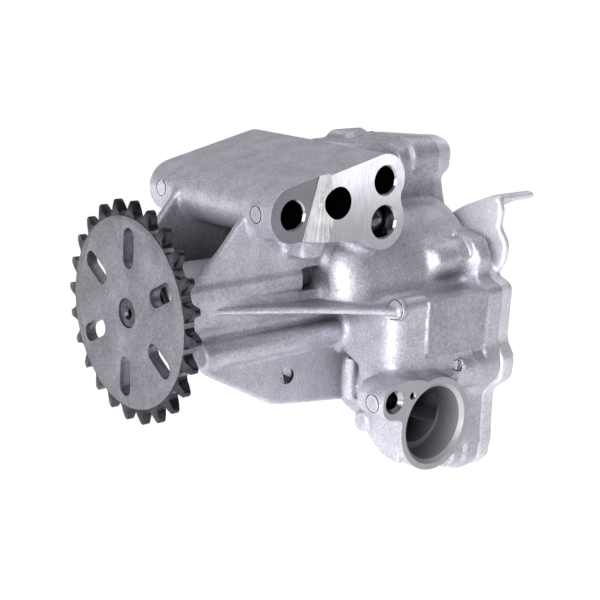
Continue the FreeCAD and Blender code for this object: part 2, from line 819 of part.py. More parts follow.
plug_floor = valve_mouth_x + plug_thread_length
plug = turned_body(
    "plug",
    (
        (-plug_washer_thickness - plug_head_height, 0.0),
        (-plug_washer_thickness - plug_head_height, plug_across_flats / 2 - 0.6),
        (-plug_washer_thickness - plug_head_height + 0.6, plug_across_flats / 2),
        (-plug_washer_thickness - 1.5, plug_across_flats / 2),
        (-plug_washer_thickness - 1.5, plug_thread_radius + 2.0),
        (-plug_washer_thickness, plug_thread_radius + 2.0),
        (-plug_washer_thickness, plug_thread_radius),
        (plug_thread_length - 0.8, plug_thread_radius),
        (plug_thread_length, plug_thread_radius - 0.8),
        (plug_thread_length, 0.0),
    ),
)
volume = plug.Shape.Volume
socket_sketch = body_sketch(plug, "plug_socket_sketch", "YZ_Plane", -plug_washer_thickness - plug_head_height)
corner = 3.0 / math.cos(math.pi / 6)
hexagon = []
for step_number in range(6):
    angle = math.radians(60 * step_number)
    hexagon.append((corner * math.cos(angle), corner * math.sin(angle)))
socket_sketch.addGeometry(outline_edges(hexagon), False)
pocket(plug, "plug_socket", socket_sketch, 4.0, True)
cut_check(plug, volume, "socket")
locate(plug, valve_mouth_x, valve_y, valve_z)
finish(plug, "relief_plug")

plug_seal = turned_body(
    "plug_seal",
    (
        (0.0, plug_thread_radius + 0.3),
        (plug_washer_thickness, plug_thread_radius + 0.3),
        (plug_washer_thickness, plug_thread_radius + 2.2),
        (0.0, plug_thread_radius + 2.2),
    ),
)
locate(plug_seal, valve_mouth_x - plug_washer_thickness, valve_y, valve_z)
finish(plug_seal, "plug_seal_ring")

# The spring is a wire swept along a helix. The wire is drawn with a few flats, which keeps it light.
spring_start = plug_floor.value
spring_end = valve_end.value + piston_length.value - piston_crown.value
spring_length = spring_end - spring_start
wire = spring_wire_radius.value
turn_pitch = (spring_length - 2 * wire) / spring_turns.value
helix = Part.makeHelix(turn_pitch, spring_length - 2 * wire, spring_coil_radius.value)
flat_turn = 2 * math.pi / spring_wire_flats.value
corners = [
    Vector(
        spring_coil_radius.value + wire * math.cos(flat_turn * (i + 0.5)),
        0,
        wire * math.sin(flat_turn * (i + 0.5)),
    )
    for i in range(int(spring_wire_flats.value))
]
section = Part.makePolygon(corners + corners[:1])
spring_shape = Part.Wire(helix.Edges).makePipeShell([section], True, True)
spring = doc.addObject("Part::Feature", "spring")
spring.Shape = spring_shape
spring.Placement = Placement(
    Vector(spring_start + wire, valve_y.value, valve_z.value), Rotation(Vector(0, 1, 0), 90)
)
finish(spring, "relief_spring")

# Steel ball pressed into the cross drilling of the arm.
ball = sphere("ball", ball_radius, lobe_b_x, ball_depth - seat_y, lobe_c_z)
finish(ball, "gallery_ball")

# Locating sleeves in the crankcase side of the two mounting bores.
sleeves = []
for tag, at_x, at_z in (("a", lobe_a_x, lobe_a_z), ("b", lobe_b_x, lobe_b_z)):
    start = mount_face_y + sleeve_stand - sleeve_length
    outside = cylinder("sleeve_out_" + tag, sleeve_radius, sleeve_length, at_x, start, at_z, "Y")
    inside = cylinder("sleeve_in_" + tag, mount_bore_radius + 0.2, sleeve_length, at_x, start, at_z, "Y")
    sleeves.append(difference("sleeve_" + tag, outside, inside))
sleeve_group = doc.addObject("Part::Compound", "sleeve_group")
sleeve_group.Links = sleeves
finish(sleeve_group, "mounting_sleeves")

# Cover screws: countersunk heads flush with the cover, shanks down into the housing.
bolts = []
cover_face = joint_x + cover_thickness
for number, (at_y, at_z) in enumerate(BOLTS):
    tag = "bolt_%d" % number
    shank = cylinder(
        tag + "_shank",
        bolt_radius,
        cover_thickness + bolt_reach - bolt_head_height,
        joint_x - bolt_reach,
        at_y,
        at_z,
    )
    head = cone(
        tag + "_head",
        bolt_radius,
        bolt_head_radius,
        bolt_head_height,
        cover_face - bolt_head_height,
        at_y,
        at_z,
    )
    corners = []
    for step_number in range(6):
        angle = math.radians(60 * step_number)
        reach = bolt_socket_across.value / 2 / math.cos(math.pi / 6)
        corners.append((at_y + reach * math.cos(angle), at_z + reach * math.sin(angle)))
    socket = prism(tag + "_socket", "YZ", corners, cover_face - bolt_socket_depth, bolt_socket_depth)
    bolts.append(difference(tag, union(tag + "_solid", [shank, head]), socket))
bolt_group = doc.addObject("Part::Compound", "bolt_group")
bolt_group.Links = bolts
finish(bolt_group, "cover_screws")

dowels = []
for number, (at_y, at_z) in enumerate(DOWELS):
    dowels.append(
        cylinder("dowel_%d" % number, dowel_radius, dowel_length, joint_x - dowel_length / 2, at_y, at_z)
    )
dowel_group = doc.addObject("Part::Compound", "dowel_group")
dowel_group.Links = dowels
finish(dowel_group, "dowel_pins")

# Housing casting, first all that is added.
arm_depth = mount_face_y + seat_y
tunnel_start = tunnel_front_x + washer_thickness
adds = []
adds.append(
    prism(
        "arm_core",
        "XZ",
        (
            (lobe_a_x.value - 1.9, lobe_a_z.value + 8.1),
            (lobe_b_x.value - 1.8, lobe_b_z.value + 7.9),
            (80.2, 40.0),
            (79.4, 31.0),
            (80.6, 26.0),
            (72.0, 18.5),
            (41.0, 20.2),
            (34.5, 22.0),
        ),
        -seat_y,
        arm_depth,
    )
)
adds.append(cylinder("lobe_a", lobe_a_radius, arm_depth, lobe_a_x, -seat_y, lobe_a_z, "Y"))
adds.append(cylinder("lobe_b", lobe_b_radius, arm_depth, lobe_b_x, -seat_y, lobe_b_z, "Y"))
adds.append(cylinder("lobe_c", lobe_c_radius, seat_y - 4.0, lobe_b_x, -seat_y, lobe_c_z, "Y"))
ARM_TAB = ((46.0, 13.9), (53.5, 13.4, 2.0), (56.5, 20.0), (46.0, 20.0))
adds.append(prism("arm_tab", "XZ", ARM_TAB, -21.0, 12.0))

# Shaft tunnel with the two webs that carry the arm, the flat strip and the slanted fin.
adds.append(cylinder("tunnel", tunnel_radius, 72.0, tunnel_start, 0, 0))
WEB_EDGE = (
    (33.0, 30.0),
    (31.0, 27.1, 6.0),
    (28.5, 24.4, 20.0),
    (25.4, 20.7, 20.0),
    (22.2, 17.2, 20.0),
    (18.5, 13.9, 20.0),
    (15.6, 11.3, 20.0),
    (12.4, 8.8, 6.0),
    (8.0, 6.2),
)
WEB = WEB_EDGE + ((8.0, 0.0), (80.0, 0.0), (80.0, 24.0), (60.0, 28.0))
adds.append(prism("web_front", "XZ", WEB, -12.6, 3.0))
adds.append(prism("web_rear", "XZ", [(x - 2.4, z) for x, z in [point[:2] for point in WEB]], 20.6, 3.0))
adds.append(block("rear_shelf", 9.0, 0.0, -2.0, 71.0, 23.6, 4.0))
adds.append(block("strip", 10.6, -13.6, 2.2, 42.8, 10.0, 5.4))
fin_tilt = 3.43
fin_turn = Rotation(Vector(0, 1, 0), fin_tilt)
FIN = (
    (13.0, 0.0),
    (13.0, -10.6),
    (22.0, -13.5, 30.0),
    (31.1, -16.3, 30.0),
    (38.1, -18.5, 30.0),
    (44.9, -20.9, 30.0),
    (51.6, -23.6, 30.0),
    (58.1, -26.8, 30.0),
    (64.6, -30.6, 30.0),
    (72.0, -35.0),
    (84.0, -36.2),
    (84.0, 0.0),
)
fin = prism("fin", "XY", FIN, 0.0, 2.1)
fin.Base.Placement = Placement(Vector(0, 0, 0), fin_turn)
fin.Dir = fin_turn.multVec(Vector(0, 0, 1))
adds.append(fin)
adds.append(cylinder("fin_boss", 3.3, 12.0, 73.3, -33.6, -2.6))
adds.append(cylinder("gallery", 4.4, 58.0, 16.6, -9.8, -13.6))
adds.append(
    prism(
        "wing",
        "XZ",
        (
            (15.6, -12.0),
            (15.6, -15.4, 1.0),
            (20.2, -20.6, 2.0),
            (44.6, -34.3, 4.0),
            (52.0, -35.6, 2.0),
            (70.8, -38.0),
            (80.0, -39.2),
            (84.0, -12.0),
        ),
        -9.8,
        3.2,
    )
)
adds.append(cylinder("wing_column", 3.4, 14.6, 78.6, -9.6, -38.6, "Z"))

# Gear chamber dome above, boxed inlet body below and in front.
dome = softened(
    "dome_soft",
    cylinder("dome", dome_radius, joint_x - dome_front_x, dome_front_x, 0, 0),
    11.0,
    lambda edge: edge.BoundBox.XMax < dome_front_x.value + 1,
)
dome_half = doc.addObject("Part::Common", "dome_half")
dome_half.Base = dome
dome_half.Tool = block("dome_upper", dome_front_x, -30.0, -3.0, joint_x - dome_front_x, 60.0, 40.0)
adds.append(dome_half)
adds.append(cylinder("drive_chamber", dome_radius, 26.0, joint_x - 26.0, 0, 0))
body_front = 71.5
inlet_body = prism(
    "inlet_body",
    "YZ",
    (
        (-36.0, -1.6, 1.0),
        (-36.0, -24.0, 8.0),
        (-31.0, -30.0, 4.0),
        (-31.0, -38.0),
        (-21.5, -38.0),
        (-19.5, -23.5, 2.0),
        (-9.0, -19.5, 2.0),
        (-9.0, -4.0),
        (-20.0, -1.6),
    ),
    body_front,
    joint_x - body_front,
)
adds.append(
    softened(
        "inlet_body_soft",
        inlet_body,
        6.0,
        lambda edge: edge.BoundBox.XMax < body_front + 1 and edge.BoundBox.YMax < -35.9,
    )
)
adds.append(
    prism(
        "deep_body",
        "YZ",
        ((-20.0, -2.0), (-20.0, -40.0), (14.0, -40.0, 6.0), (24.0, -24.0, 6.0), (24.0, 0.0), (0.0, 6.0)),
        80.0,
        joint_x - 80.0,
    )
)
adds.append(cylinder("driven_chamber", 22.0, 24.0, joint_x - 24.0, 0, -gear_centres))
adds.append(
    prism("pad", "XZ", ((84.0, -1.2), (111.2, -0.9), (108.2, -19.8, 2.0), (84.2, -18.8)), -37.2, 5.0)
)

# Suction tube, its flat sided throat and the lug for the strainer screw.
suction_floor = suction_bore_depth - suction_face_y
adds.append(
    cylinder("suction_tube", suction_ring_radius, 14.0, suction_x, -suction_face_y, suction_z, "Y")
)
adds.append(
    cylinder(
        "suction_neck",
        suction_bore_radius + suction_wall,
        suction_neck_length,
        suction_x,
        -suction_face_y,
        suction_z,
        "Y",
    )
)
adds.append(
    cone(
        "suction_elbow",
        suction_throat_radius + suction_wall,
        suction_throat_end_radius + suction_wall,
        suction_throat_length + suction_wall,
        suction_x + suction_throat_shift,
        suction_floor,
        suction_z + suction_throat_shift,
        "Y",
    )
)
THROAT = (
    (-40.0, -28.0),
    (-40.0, -50.6),
    (-38.0, -50.4, 6.0),
    (-31.2, -49.2, 8.0),
    (-25.4, -44.4, 8.0),
    (-21.4, -38.6, 6.0),
    (-20.2, -34.0),
    (-20.2, -28.0),
)
adds.append(prism("throat", "YZ", THROAT, 71.0, 26.0))
adds.append(
    prism(
        "sump_box",
        "YZ",
        ((-32.0, -28.0), (-32.0, -57.0, 4.0), (-20.0, -57.0, 6.0), (0.0, -50.0), (0.0, -28.0)),
        90.5,
        joint_x - 90.5,
    )
)
adds.append(cylinder("knob", 3.3, 8.0, 69.6, -23.8, -40.8))
adds.append(
    prism(
        "screw_lug",
        "XZ",
        (
            (61.6, -24.0, 4.8),
            (72.0, -22.8, 3.0),
            (79.4, -24.0, 2.0),
            (84.0, -30.0),
            (76.0, -40.0),
            (71.0, -37.0, 1.0),
            (70.5, -35.3, 1.5),
            (61.6, -33.7, 4.6),
        ),
        -suction_face_y,
        12.0,
    )
)

# Flange of the joint with its bolt bosses, the bar across its top and the neck below that.
FLANGE = (
    (47.0, 40.2, 5.0),
    (24.0, 42.3),
    (2.0, 43.6, 4.0),
    (-5.5, 42.0, 5.0),
    (-6.4, 33.0, 5.0),
    (-3.4, 30.0, 3.0),
    (-6.6, 19.6, 5.0),
    (-12.0, 16.4, 4.0),
    (-22.0, 15.2, 4.0),
    (-29.2, 13.9, 5.0),
    (-32.4, 7.6, 5.0),
    (-30.6, 1.6, 3.0),
    (-37.8, -0.6, 3.0),
    (-37.2, -20.0, 3.0),
    (-39.0, -27.0, 5.0),
    (-35.0, -34.0, 4.0),
    (-32.0, -38.0, 4.0),
    (-32.0, -56.0, 4.0),
    (-31.5, -62.0, 4.0),
    (-26.0, -66.6, 4.5),
    (-19.0, -65.0, 4.0),
    (-8.0, -54.0, 8.0),
    (14.0, -54.0, 6.0),
    (26.0, -46.0, 6.0),
    (28.0, -30.0, 8.0),
    (36.6, -12.0, 6.0),
    (36.6, 2.0, 6.0),
    (30.0, 14.0, 8.0),
    (44.0, 28.0, 5.0),
)
adds.append(prism("flange", "YZ", FLANGE, joint_x - flange_thickness, flange_thickness))
BOSSES = (
    (6.8, 12.0),
    (6.2, 21.0),
    (7.2, 19.0),
    (5.9, 11.5),
    (6.2, 12.0),
    (7.0, 24.0),
    (7.2, 11.5),
)
for number, (at_y, at_z) in enumerate(BOLTS):
    radius, reach = BOSSES[number]
    adds.append(cylinder("boss_%d" % number, radius, reach, joint_x - reach, at_y, at_z))
adds.append(
    prism(
        "top_bar",
        "YZ",
        ((44.0, 38.8, 5.0), (24.0, 40.6), (2.0, 42.2, 4.0), (-4.6, 40.0, 5.0), (-4.6, 31.0), (44.0, 28.0)),
        101.0,
        joint_x - 101.0,
    )
)
adds.append(
    prism(
        "neck",
        "YZ",
        ((-3.6, 33.0), (-5.0, 24.0, 8.0), (-9.5, 17.0), (-10.0, 10.0), (22.0, 4.0), (26.0, 33.0)),
        80.0,
        joint_x - 80.0,
    )
)
adds.append(
    cylinder(
        "valve_boss", valve_boss_radius, joint_x - valve_mouth_x - 2.0, valve_mouth_x, valve_y, valve_z
    )
)
adds.append(cylinder("outlet_boss", outlet_boss_radius, mount_face_y, outlet_x, 0, outlet_z, "Y"))
adds.append(block("valve_web", 92.0, 8.0, -42.0, joint_x - 92.0, 20.0, 30.0))

# Flat round marks that the casting tool's pins leave on faces towards the sprocket.
PIN_MARKS = (
    (30.9, -17.3, 28.3, 2.9),
    (30.9, 30.3, 29.0, 2.9),
    (73.3, -33.6, -2.6, 2.7),
    (61.6, -37.4, -29.4, 3.0),
    (99.0, -37.0, -24.0, 1.6),
)
for number, (at_x, at_y, at_z, radius) in enumerate(PIN_MARKS):
    adds.append(cylinder("pin_mark_%d" % number, radius, 2.0, at_x - 0.25, at_y, at_z))
casting = union("housing_raw", adds)

# Housing, then all that is cut.
cuts = []
chamber_radius = gear_module * (gear_teeth / 2 + 1) + gear_tip_gap
cuts.append(cylinder("drive_pocket", chamber_radius, chamber_depth, chamber_floor, 0, 0))
cuts.append(cylinder("driven_pocket", chamber_radius, chamber_depth, chamber_floor, 0, -gear_centres))
cuts.append(
    cylinder("shaft_way", shaft_radius + tunnel_bore_gap, joint_x, tunnel_front_x, 0, 0)
)
cuts.append(
    cylinder("front_seat", journal + bush_wall, front_bush_length, tunnel_front_x + washer_thickness, 0, 0)
)
chamber_seat_run = chamber_bush_length + 0.5
chamber_seat_start = chamber_floor - chamber_seat_run
cuts.append(
    cylinder("chamber_seat", journal + bush_wall, chamber_seat_run, chamber_seat_start, 0, 0)
)
cuts.append(cylinder("idler_seat", idler_radius, idler_seat_depth, idler_start, 0, -gear_centres))
cuts.append(
    cylinder(
        "suction_bore",
        suction_bore_radius,
        suction_bore_depth,
        suction_x,
        -suction_face_y,
        suction_z,
        "Y",
    )
)
cuts.append(
    cone(
        "suction_throat",
        suction_throat_radius,
        suction_throat_end_radius,
        suction_throat_length,
        suction_x + suction_throat_shift,
        suction_floor,
        suction_z + suction_throat_shift,
        "Y",
    )
)
cuts.append(block("sump_pocket", 92.5, -31.0, -44.0, 15.5, 19.0, 18.0))
cuts.append(block("inlet_pocket", 84.0, -24.0, -34.0, joint_x - 88.0, 18.0, 22.0))
cuts.append(block("tunnel_window", 53.4, -24.0, 1.4, 8.0, 17.0, 7.0))
outlet_floor = mount_face_y - outlet_depth
outlet_neck_length = outlet_floor - outlet_neck_floor
cuts.append(
    cylinder("outlet_bore", outlet_radius, outlet_depth, outlet_x, outlet_floor, outlet_z, "Y")
)
cuts.append(
    cylinder(
        "outlet_neck",
        outlet_neck_radius,
        outlet_neck_length,
        outlet_x,
        outlet_neck_floor,
        outlet_z,
        "Y",
    )
)
valve_run = valve_seat_x - valve_mouth_x
cuts.append(
    cylinder("valve_bore", piston_radius + running_gap, valve_run, valve_mouth_x, valve_y, valve_z)
)
cuts.append(cylinder("plug_bore", plug_thread_radius, plug_thread_length, valve_mouth_x, valve_y, valve_z))
cuts.append(cylinder("valve_feed", 3.8, 6.0, valve_seat_x, valve_y, valve_z))
cuts.append(cylinder("feed_drilling", 2.5, outlet_z - valve_z, outlet_x, valve_y, valve_z, "Z"))
cuts.append(cylinder("spill_port", 2.4, 14.0, valve_seat_x - 3.6, valve_y, valve_z, "Y"))
bore_length = arm_depth + 2.0
cuts.append(cylinder("mount_bore_a", mount_bore_radius, bore_length, lobe_a_x, -seat_y - 1.0, lobe_a_z, "Y"))
cuts.append(cylinder("mount_bore_b", mount_bore_radius, bore_length, lobe_b_x, -seat_y - 1.0, lobe_b_z, "Y"))
sleeve_seat = sleeve_length - sleeve_stand
sleeve_floor = mount_face_y - sleeve_seat
for tag, at_x, at_z in (("a", lobe_a_x, lobe_a_z), ("b", lobe_b_x, lobe_b_z)):
    cuts.append(
        cylinder("sleeve_seat_" + tag, sleeve_radius, sleeve_seat, at_x, sleeve_floor, at_z, "Y")
    )
cuts.append(cylinder("oil_bore", oil_bore_radius, oil_bore_depth, oil_bore_x, -seat_y, oil_bore_z, "Y"))
cuts.append(cylinder("ball_bore", ball_radius, 14.0, lobe_b_x, -seat_y, lobe_c_z, "Y"))
cuts.append(
    cylinder("screw_hole", screw_hole_radius, screw_hole_depth, screw_x, -suction_face_y, screw_z, "Y")
)
cuts.append(cylinder("pin_hole", pin_hole_radius, 6.0, 74.1, -suction_face_y, -28.1, "Y"))
cuts.append(cylinder("wing_hole", 2.7, 8.0, 51.0, -12.0, -26.0, "Y"))
thread_start = joint_x - bolt_reach
for number, (at_y, at_z) in enumerate(BOLTS):
    cuts.append(
        cylinder("bolt_thread_%d" % number, bolt_radius, bolt_reach, thread_start, at_y, at_z)
    )
dowel_half = dowel_length / 2
for number, (at_y, at_z) in enumerate(DOWELS):
    cuts.append(
        cylinder("dowel_seat_%d" % number, dowel_radius, dowel_half, joint_x - dowel_half, at_y, at_z)
    )
recess_low = doc.addObject("Sketcher::SketchObject", "recess_low_sketch")
add_outline(recess_low, ((26.0, 16.0), (46.0, 16.0), (52.4, 40.0), (26.0, 40.0)))
locate(recess_low, 0, lobe_a_drop - seat_y, 0, XZ_TURN)
recess_high = doc.addObject("Sketcher::SketchObject", "recess_high_sketch")
add_outline(recess_high, ((26.0, 16.0), (51.2, 16.0), (52.6, 40.0), (26.0, 40.0)))
locate(recess_high, 0, -seat_y, 0, XZ_TURN)
recess = doc.addObject("Part::Loft", "seat_recess")
recess.Sections = [recess_low, recess_high]
recess.Solid = True
recess.Ruled = True
cuts.append(recess)
housing = difference("housing", casting, union("housing_cuts", cuts))
finish(housing, "pump_housing")

# Rear cover: plate over the joint, hubs for the two shafts, and a thin lug with a finger
# that stands off behind the flange.
COVER = (
    (46.0, 39.6, 5.0),
    (24.0, 42.0),
    (2.0, 43.6, 4.0),
    (-5.0, 42.0, 5.0),
    (-6.0, 33.0, 5.0),
    (-1.8, 30.0, 3.0),
    (-4.4, 20.6, 5.0),
    (-10.0, 15.4, 4.0),
    (-20.0, 13.2, 4.0),
    (-24.6, 11.0, 5.0),
    (-27.0, 7.6, 5.0),
    (-30.6, 1.6, 3.0),
    (-36.8, -0.8, 3.0),
    (-36.2, -20.0, 3.0),
    (-39.6, -25.0, 4.0),
    (-39.2, -32.0, 4.0),
    (-31.8, -38.0, 4.0),
    (-31.8, -56.0, 4.0),
    (-31.3, -62.0, 4.0),
    (-26.0, -66.4, 4.5),
    (-19.0, -65.0, 4.0),
    (-8.0, -54.0, 8.0),
    (14.0, -54.0, 6.0),
    (26.0, -46.0, 6.0),
    (28.0, -30.0, 8.0),
    (36.2, -12.0, 6.0),
    (36.2, 2.0, 6.0),
    (30.0, 14.0, 8.0),
    (44.0, 28.0, 5.0),
)
LUG = (
    (-7.0, 17.4),
    (-14.2, 21.9, 30.0),
    (-26.0, 27.0, 20.0),
    (-29.6, 27.4, 1.5),
    (-31.4, 22.7, 4.0),
    (-30.6, 17.4, 3.0),
    (-34.4, 12.4, 5.0),
    (-33.6, 6.0, 4.0),
    (-30.6, 1.6, 4.0),
    (-20.0, 1.6),
    (-10.0, 10.0),
)
cover_adds = [
    prism("cover_plate", "YZ", COVER, joint_x, cover_thickness),
    cylinder("cover_drive_hub", cover_hub_radius, cover_thickness + cover_hub_height, joint_x, 0, 0),
    cylinder(
        "cover_idler_hub",
        cover_hub_radius - 1.0,
        cover_thickness + cover_hub_height,
        joint_x,
        0,
        -gear_centres,
    ),
    prism("cover_lug", "YZ", LUG, joint_x + cover_thickness - 2.6, 2.6),
]
FINGER = (
    (-26.6, 27.4),
    (-29.4, 27.4, 1.0),
    (-29.8, 25.4, 1.0),
    (-22.0, 23.2),
    (-12.0, 18.2),
    (-12.0, 20.8),
)
cover_adds.append(prism("cover_finger", "YZ", FINGER, joint_x + cover_thickness - 1.0, 17.0))
cover_cuts = [
    cylinder("cover_shaft_seat", journal + bush_wall, cover_bush_length + 0.5, joint_x, 0, 0),
    cylinder("cover_shaft_room", shaft_radius + 0.5, cover_thickness + cover_hub_height - 1.2, joint_x, 0, 0),
    cylinder(
        "cover_idler_seat", idler_radius, cover_thickness + cover_hub_height - 3.0, joint_x, 0, -gear_centres
    ),
]
for number, (at_y, at_z) in enumerate(BOLTS):
    cover_cuts.append(
        cylinder("cover_hole_%d" % number, bolt_radius + bolt_hole_gap, cover_thickness, joint_x, at_y, at_z)
    )
    cover_cuts.append(
        cone(
            "cover_sink_%d" % number,
            bolt_radius,
            bolt_head_radius,
            bolt_head_height,
            cover_face - bolt_head_height,
            at_y,
            at_z,
        )
    )
for number, (at_y, at_z) in enumerate(DOWELS):
    cover_cuts.append(
        cylinder("cover_dowel_%d" % number, dowel_radius, dowel_half, joint_x, at_y, at_z)
    )
cover = difference("cover", union("cover_raw", cover_adds), union("cover_cuts", cover_cuts))
finish(cover, "rear_cover")

doc.recompute()
failed = [item.Label for item in doc.Objects if "Invalid" in item.State or "Error" in item.State]
if failed:
    raise RuntimeError("did not build: %s" % ", ".join(failed))
os.makedirs("parts", exist_ok=True)
for item in PARTS:
    if item.Shape.isNull() or not item.Shape.isValid():
        raise RuntimeError("%s has no valid shape" % item.Label)
    item.Shape.exportStep("parts/%s.step" % item.Label)
    print("%-20s solids %d volume %.1f" % (item.Label, len(item.Shape.Solids), item.Shape.Volume))
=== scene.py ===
import json
import logging
import math
from dataclasses import dataclass, field, replace
from enum import Enum
from typing import ClassVar

import bmesh
import bpy
import numpy as np
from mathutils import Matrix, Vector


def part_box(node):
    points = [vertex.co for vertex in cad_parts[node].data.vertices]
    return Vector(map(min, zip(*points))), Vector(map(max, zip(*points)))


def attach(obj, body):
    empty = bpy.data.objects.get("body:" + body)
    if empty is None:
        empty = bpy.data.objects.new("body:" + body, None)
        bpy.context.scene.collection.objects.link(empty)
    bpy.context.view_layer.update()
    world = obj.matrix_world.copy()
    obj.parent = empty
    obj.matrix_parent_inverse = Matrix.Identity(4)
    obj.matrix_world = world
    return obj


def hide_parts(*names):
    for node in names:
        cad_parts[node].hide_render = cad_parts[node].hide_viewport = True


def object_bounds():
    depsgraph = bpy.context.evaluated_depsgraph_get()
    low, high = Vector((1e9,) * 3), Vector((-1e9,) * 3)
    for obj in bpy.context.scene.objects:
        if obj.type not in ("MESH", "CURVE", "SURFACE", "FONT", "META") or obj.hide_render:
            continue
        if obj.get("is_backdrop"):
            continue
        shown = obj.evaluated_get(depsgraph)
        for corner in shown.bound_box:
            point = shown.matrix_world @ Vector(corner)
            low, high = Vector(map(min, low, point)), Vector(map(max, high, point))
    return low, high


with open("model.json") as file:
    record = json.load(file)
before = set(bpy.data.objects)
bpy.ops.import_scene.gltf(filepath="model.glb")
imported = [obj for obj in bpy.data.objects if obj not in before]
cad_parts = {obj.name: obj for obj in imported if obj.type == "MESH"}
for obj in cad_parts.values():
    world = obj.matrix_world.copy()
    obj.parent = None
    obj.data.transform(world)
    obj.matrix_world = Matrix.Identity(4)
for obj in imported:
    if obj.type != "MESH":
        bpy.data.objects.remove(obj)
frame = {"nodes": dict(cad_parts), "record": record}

import openvdb
from bmesh.types import BMesh
from bpy.types import Material, Mesh, Node, NodeSocket, NodeTree, Object
from mathutils import Matrix, Vector

# Looks of a chain driven engine oil pump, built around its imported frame.
# The frame is in metres: +X runs along the drive shaft, -Y is the sump side and +Z is up.

LOG = logging.getLogger("oil_pump")
MM = 0.001
# How the fine grain and the wide mottle share in a finish's colour and roughness.
GRAIN_WEIGHT = 1.6
TONE_SPAN = (0.95, 1.65)
MOTTLE_SPAN = (0.3, 0.7)
# Below this share of a crevice's open level the painted shade is full.
CREVICE_FLOOR = 0.2
# Pointiness of a flat face and of an edge with the full painted highlight and wear.
EDGE_SPAN = (0.5, 0.6)
# Fan lines have a finish's grain at this distance from their centre.
FAN_REACH_MM = 20.0


class Axis(Enum):
    """The row axes."""

    X = 0
    Y = 1
    Z = 2


class Side(Enum):
    """Which end of an axis a machined plane faces."""

    LOW = -1
    HIGH = 1


def linear(hex_colour: str) -> tuple[float, float, float, float]:
    """Turn an sRGB hex colour into linear values.

    Args:
        hex_colour: A colour such as "#8F8D96".

    Returns:
        Red, green, blue and an alpha of 1.
    """
    channels = [int(hex_colour[i : i + 2], 16) / 255 for i in (1, 3, 5)]
    turned = [c / 12.92 if c <= 0.04045 else ((c + 0.055) / 1.055) ** 2.4 for c in channels]
    return (turned[0], turned[1], turned[2], 1.0)


def add_node(
    tree: NodeTree, kind: str, settings: dict | None = None, links: dict | None = None
) -> Node:
    """Add a shader node with its settings and incoming links.

    Args:
        tree: The node tree.
        kind: Blender's name of the node type.
        settings: Property names, or input names or numbers, with their values.
        links: Input names or numbers, with the sockets that feed them.

    Returns:
        The new node.
    """
    node = tree.nodes.new(kind)
    for name, value in (settings or {}).items():
        if isinstance(name, str) and name in node.bl_rna.properties:
            setattr(node, name, value)
        else:
            node.inputs[name].default_value = value
    for name, source in (links or {}).items():
        tree.links.new(source, node.inputs[name])
    return node


def span_settings(span: tuple[float, float], values: tuple[float, float] = (0.0, 1.0)) -> dict:
    """Give a Map Range node's settings for a span of readings and the values at its ends."""
    return dict(zip(("From Min", "From Max", "To Min", "To Max"), (*span, *values)))


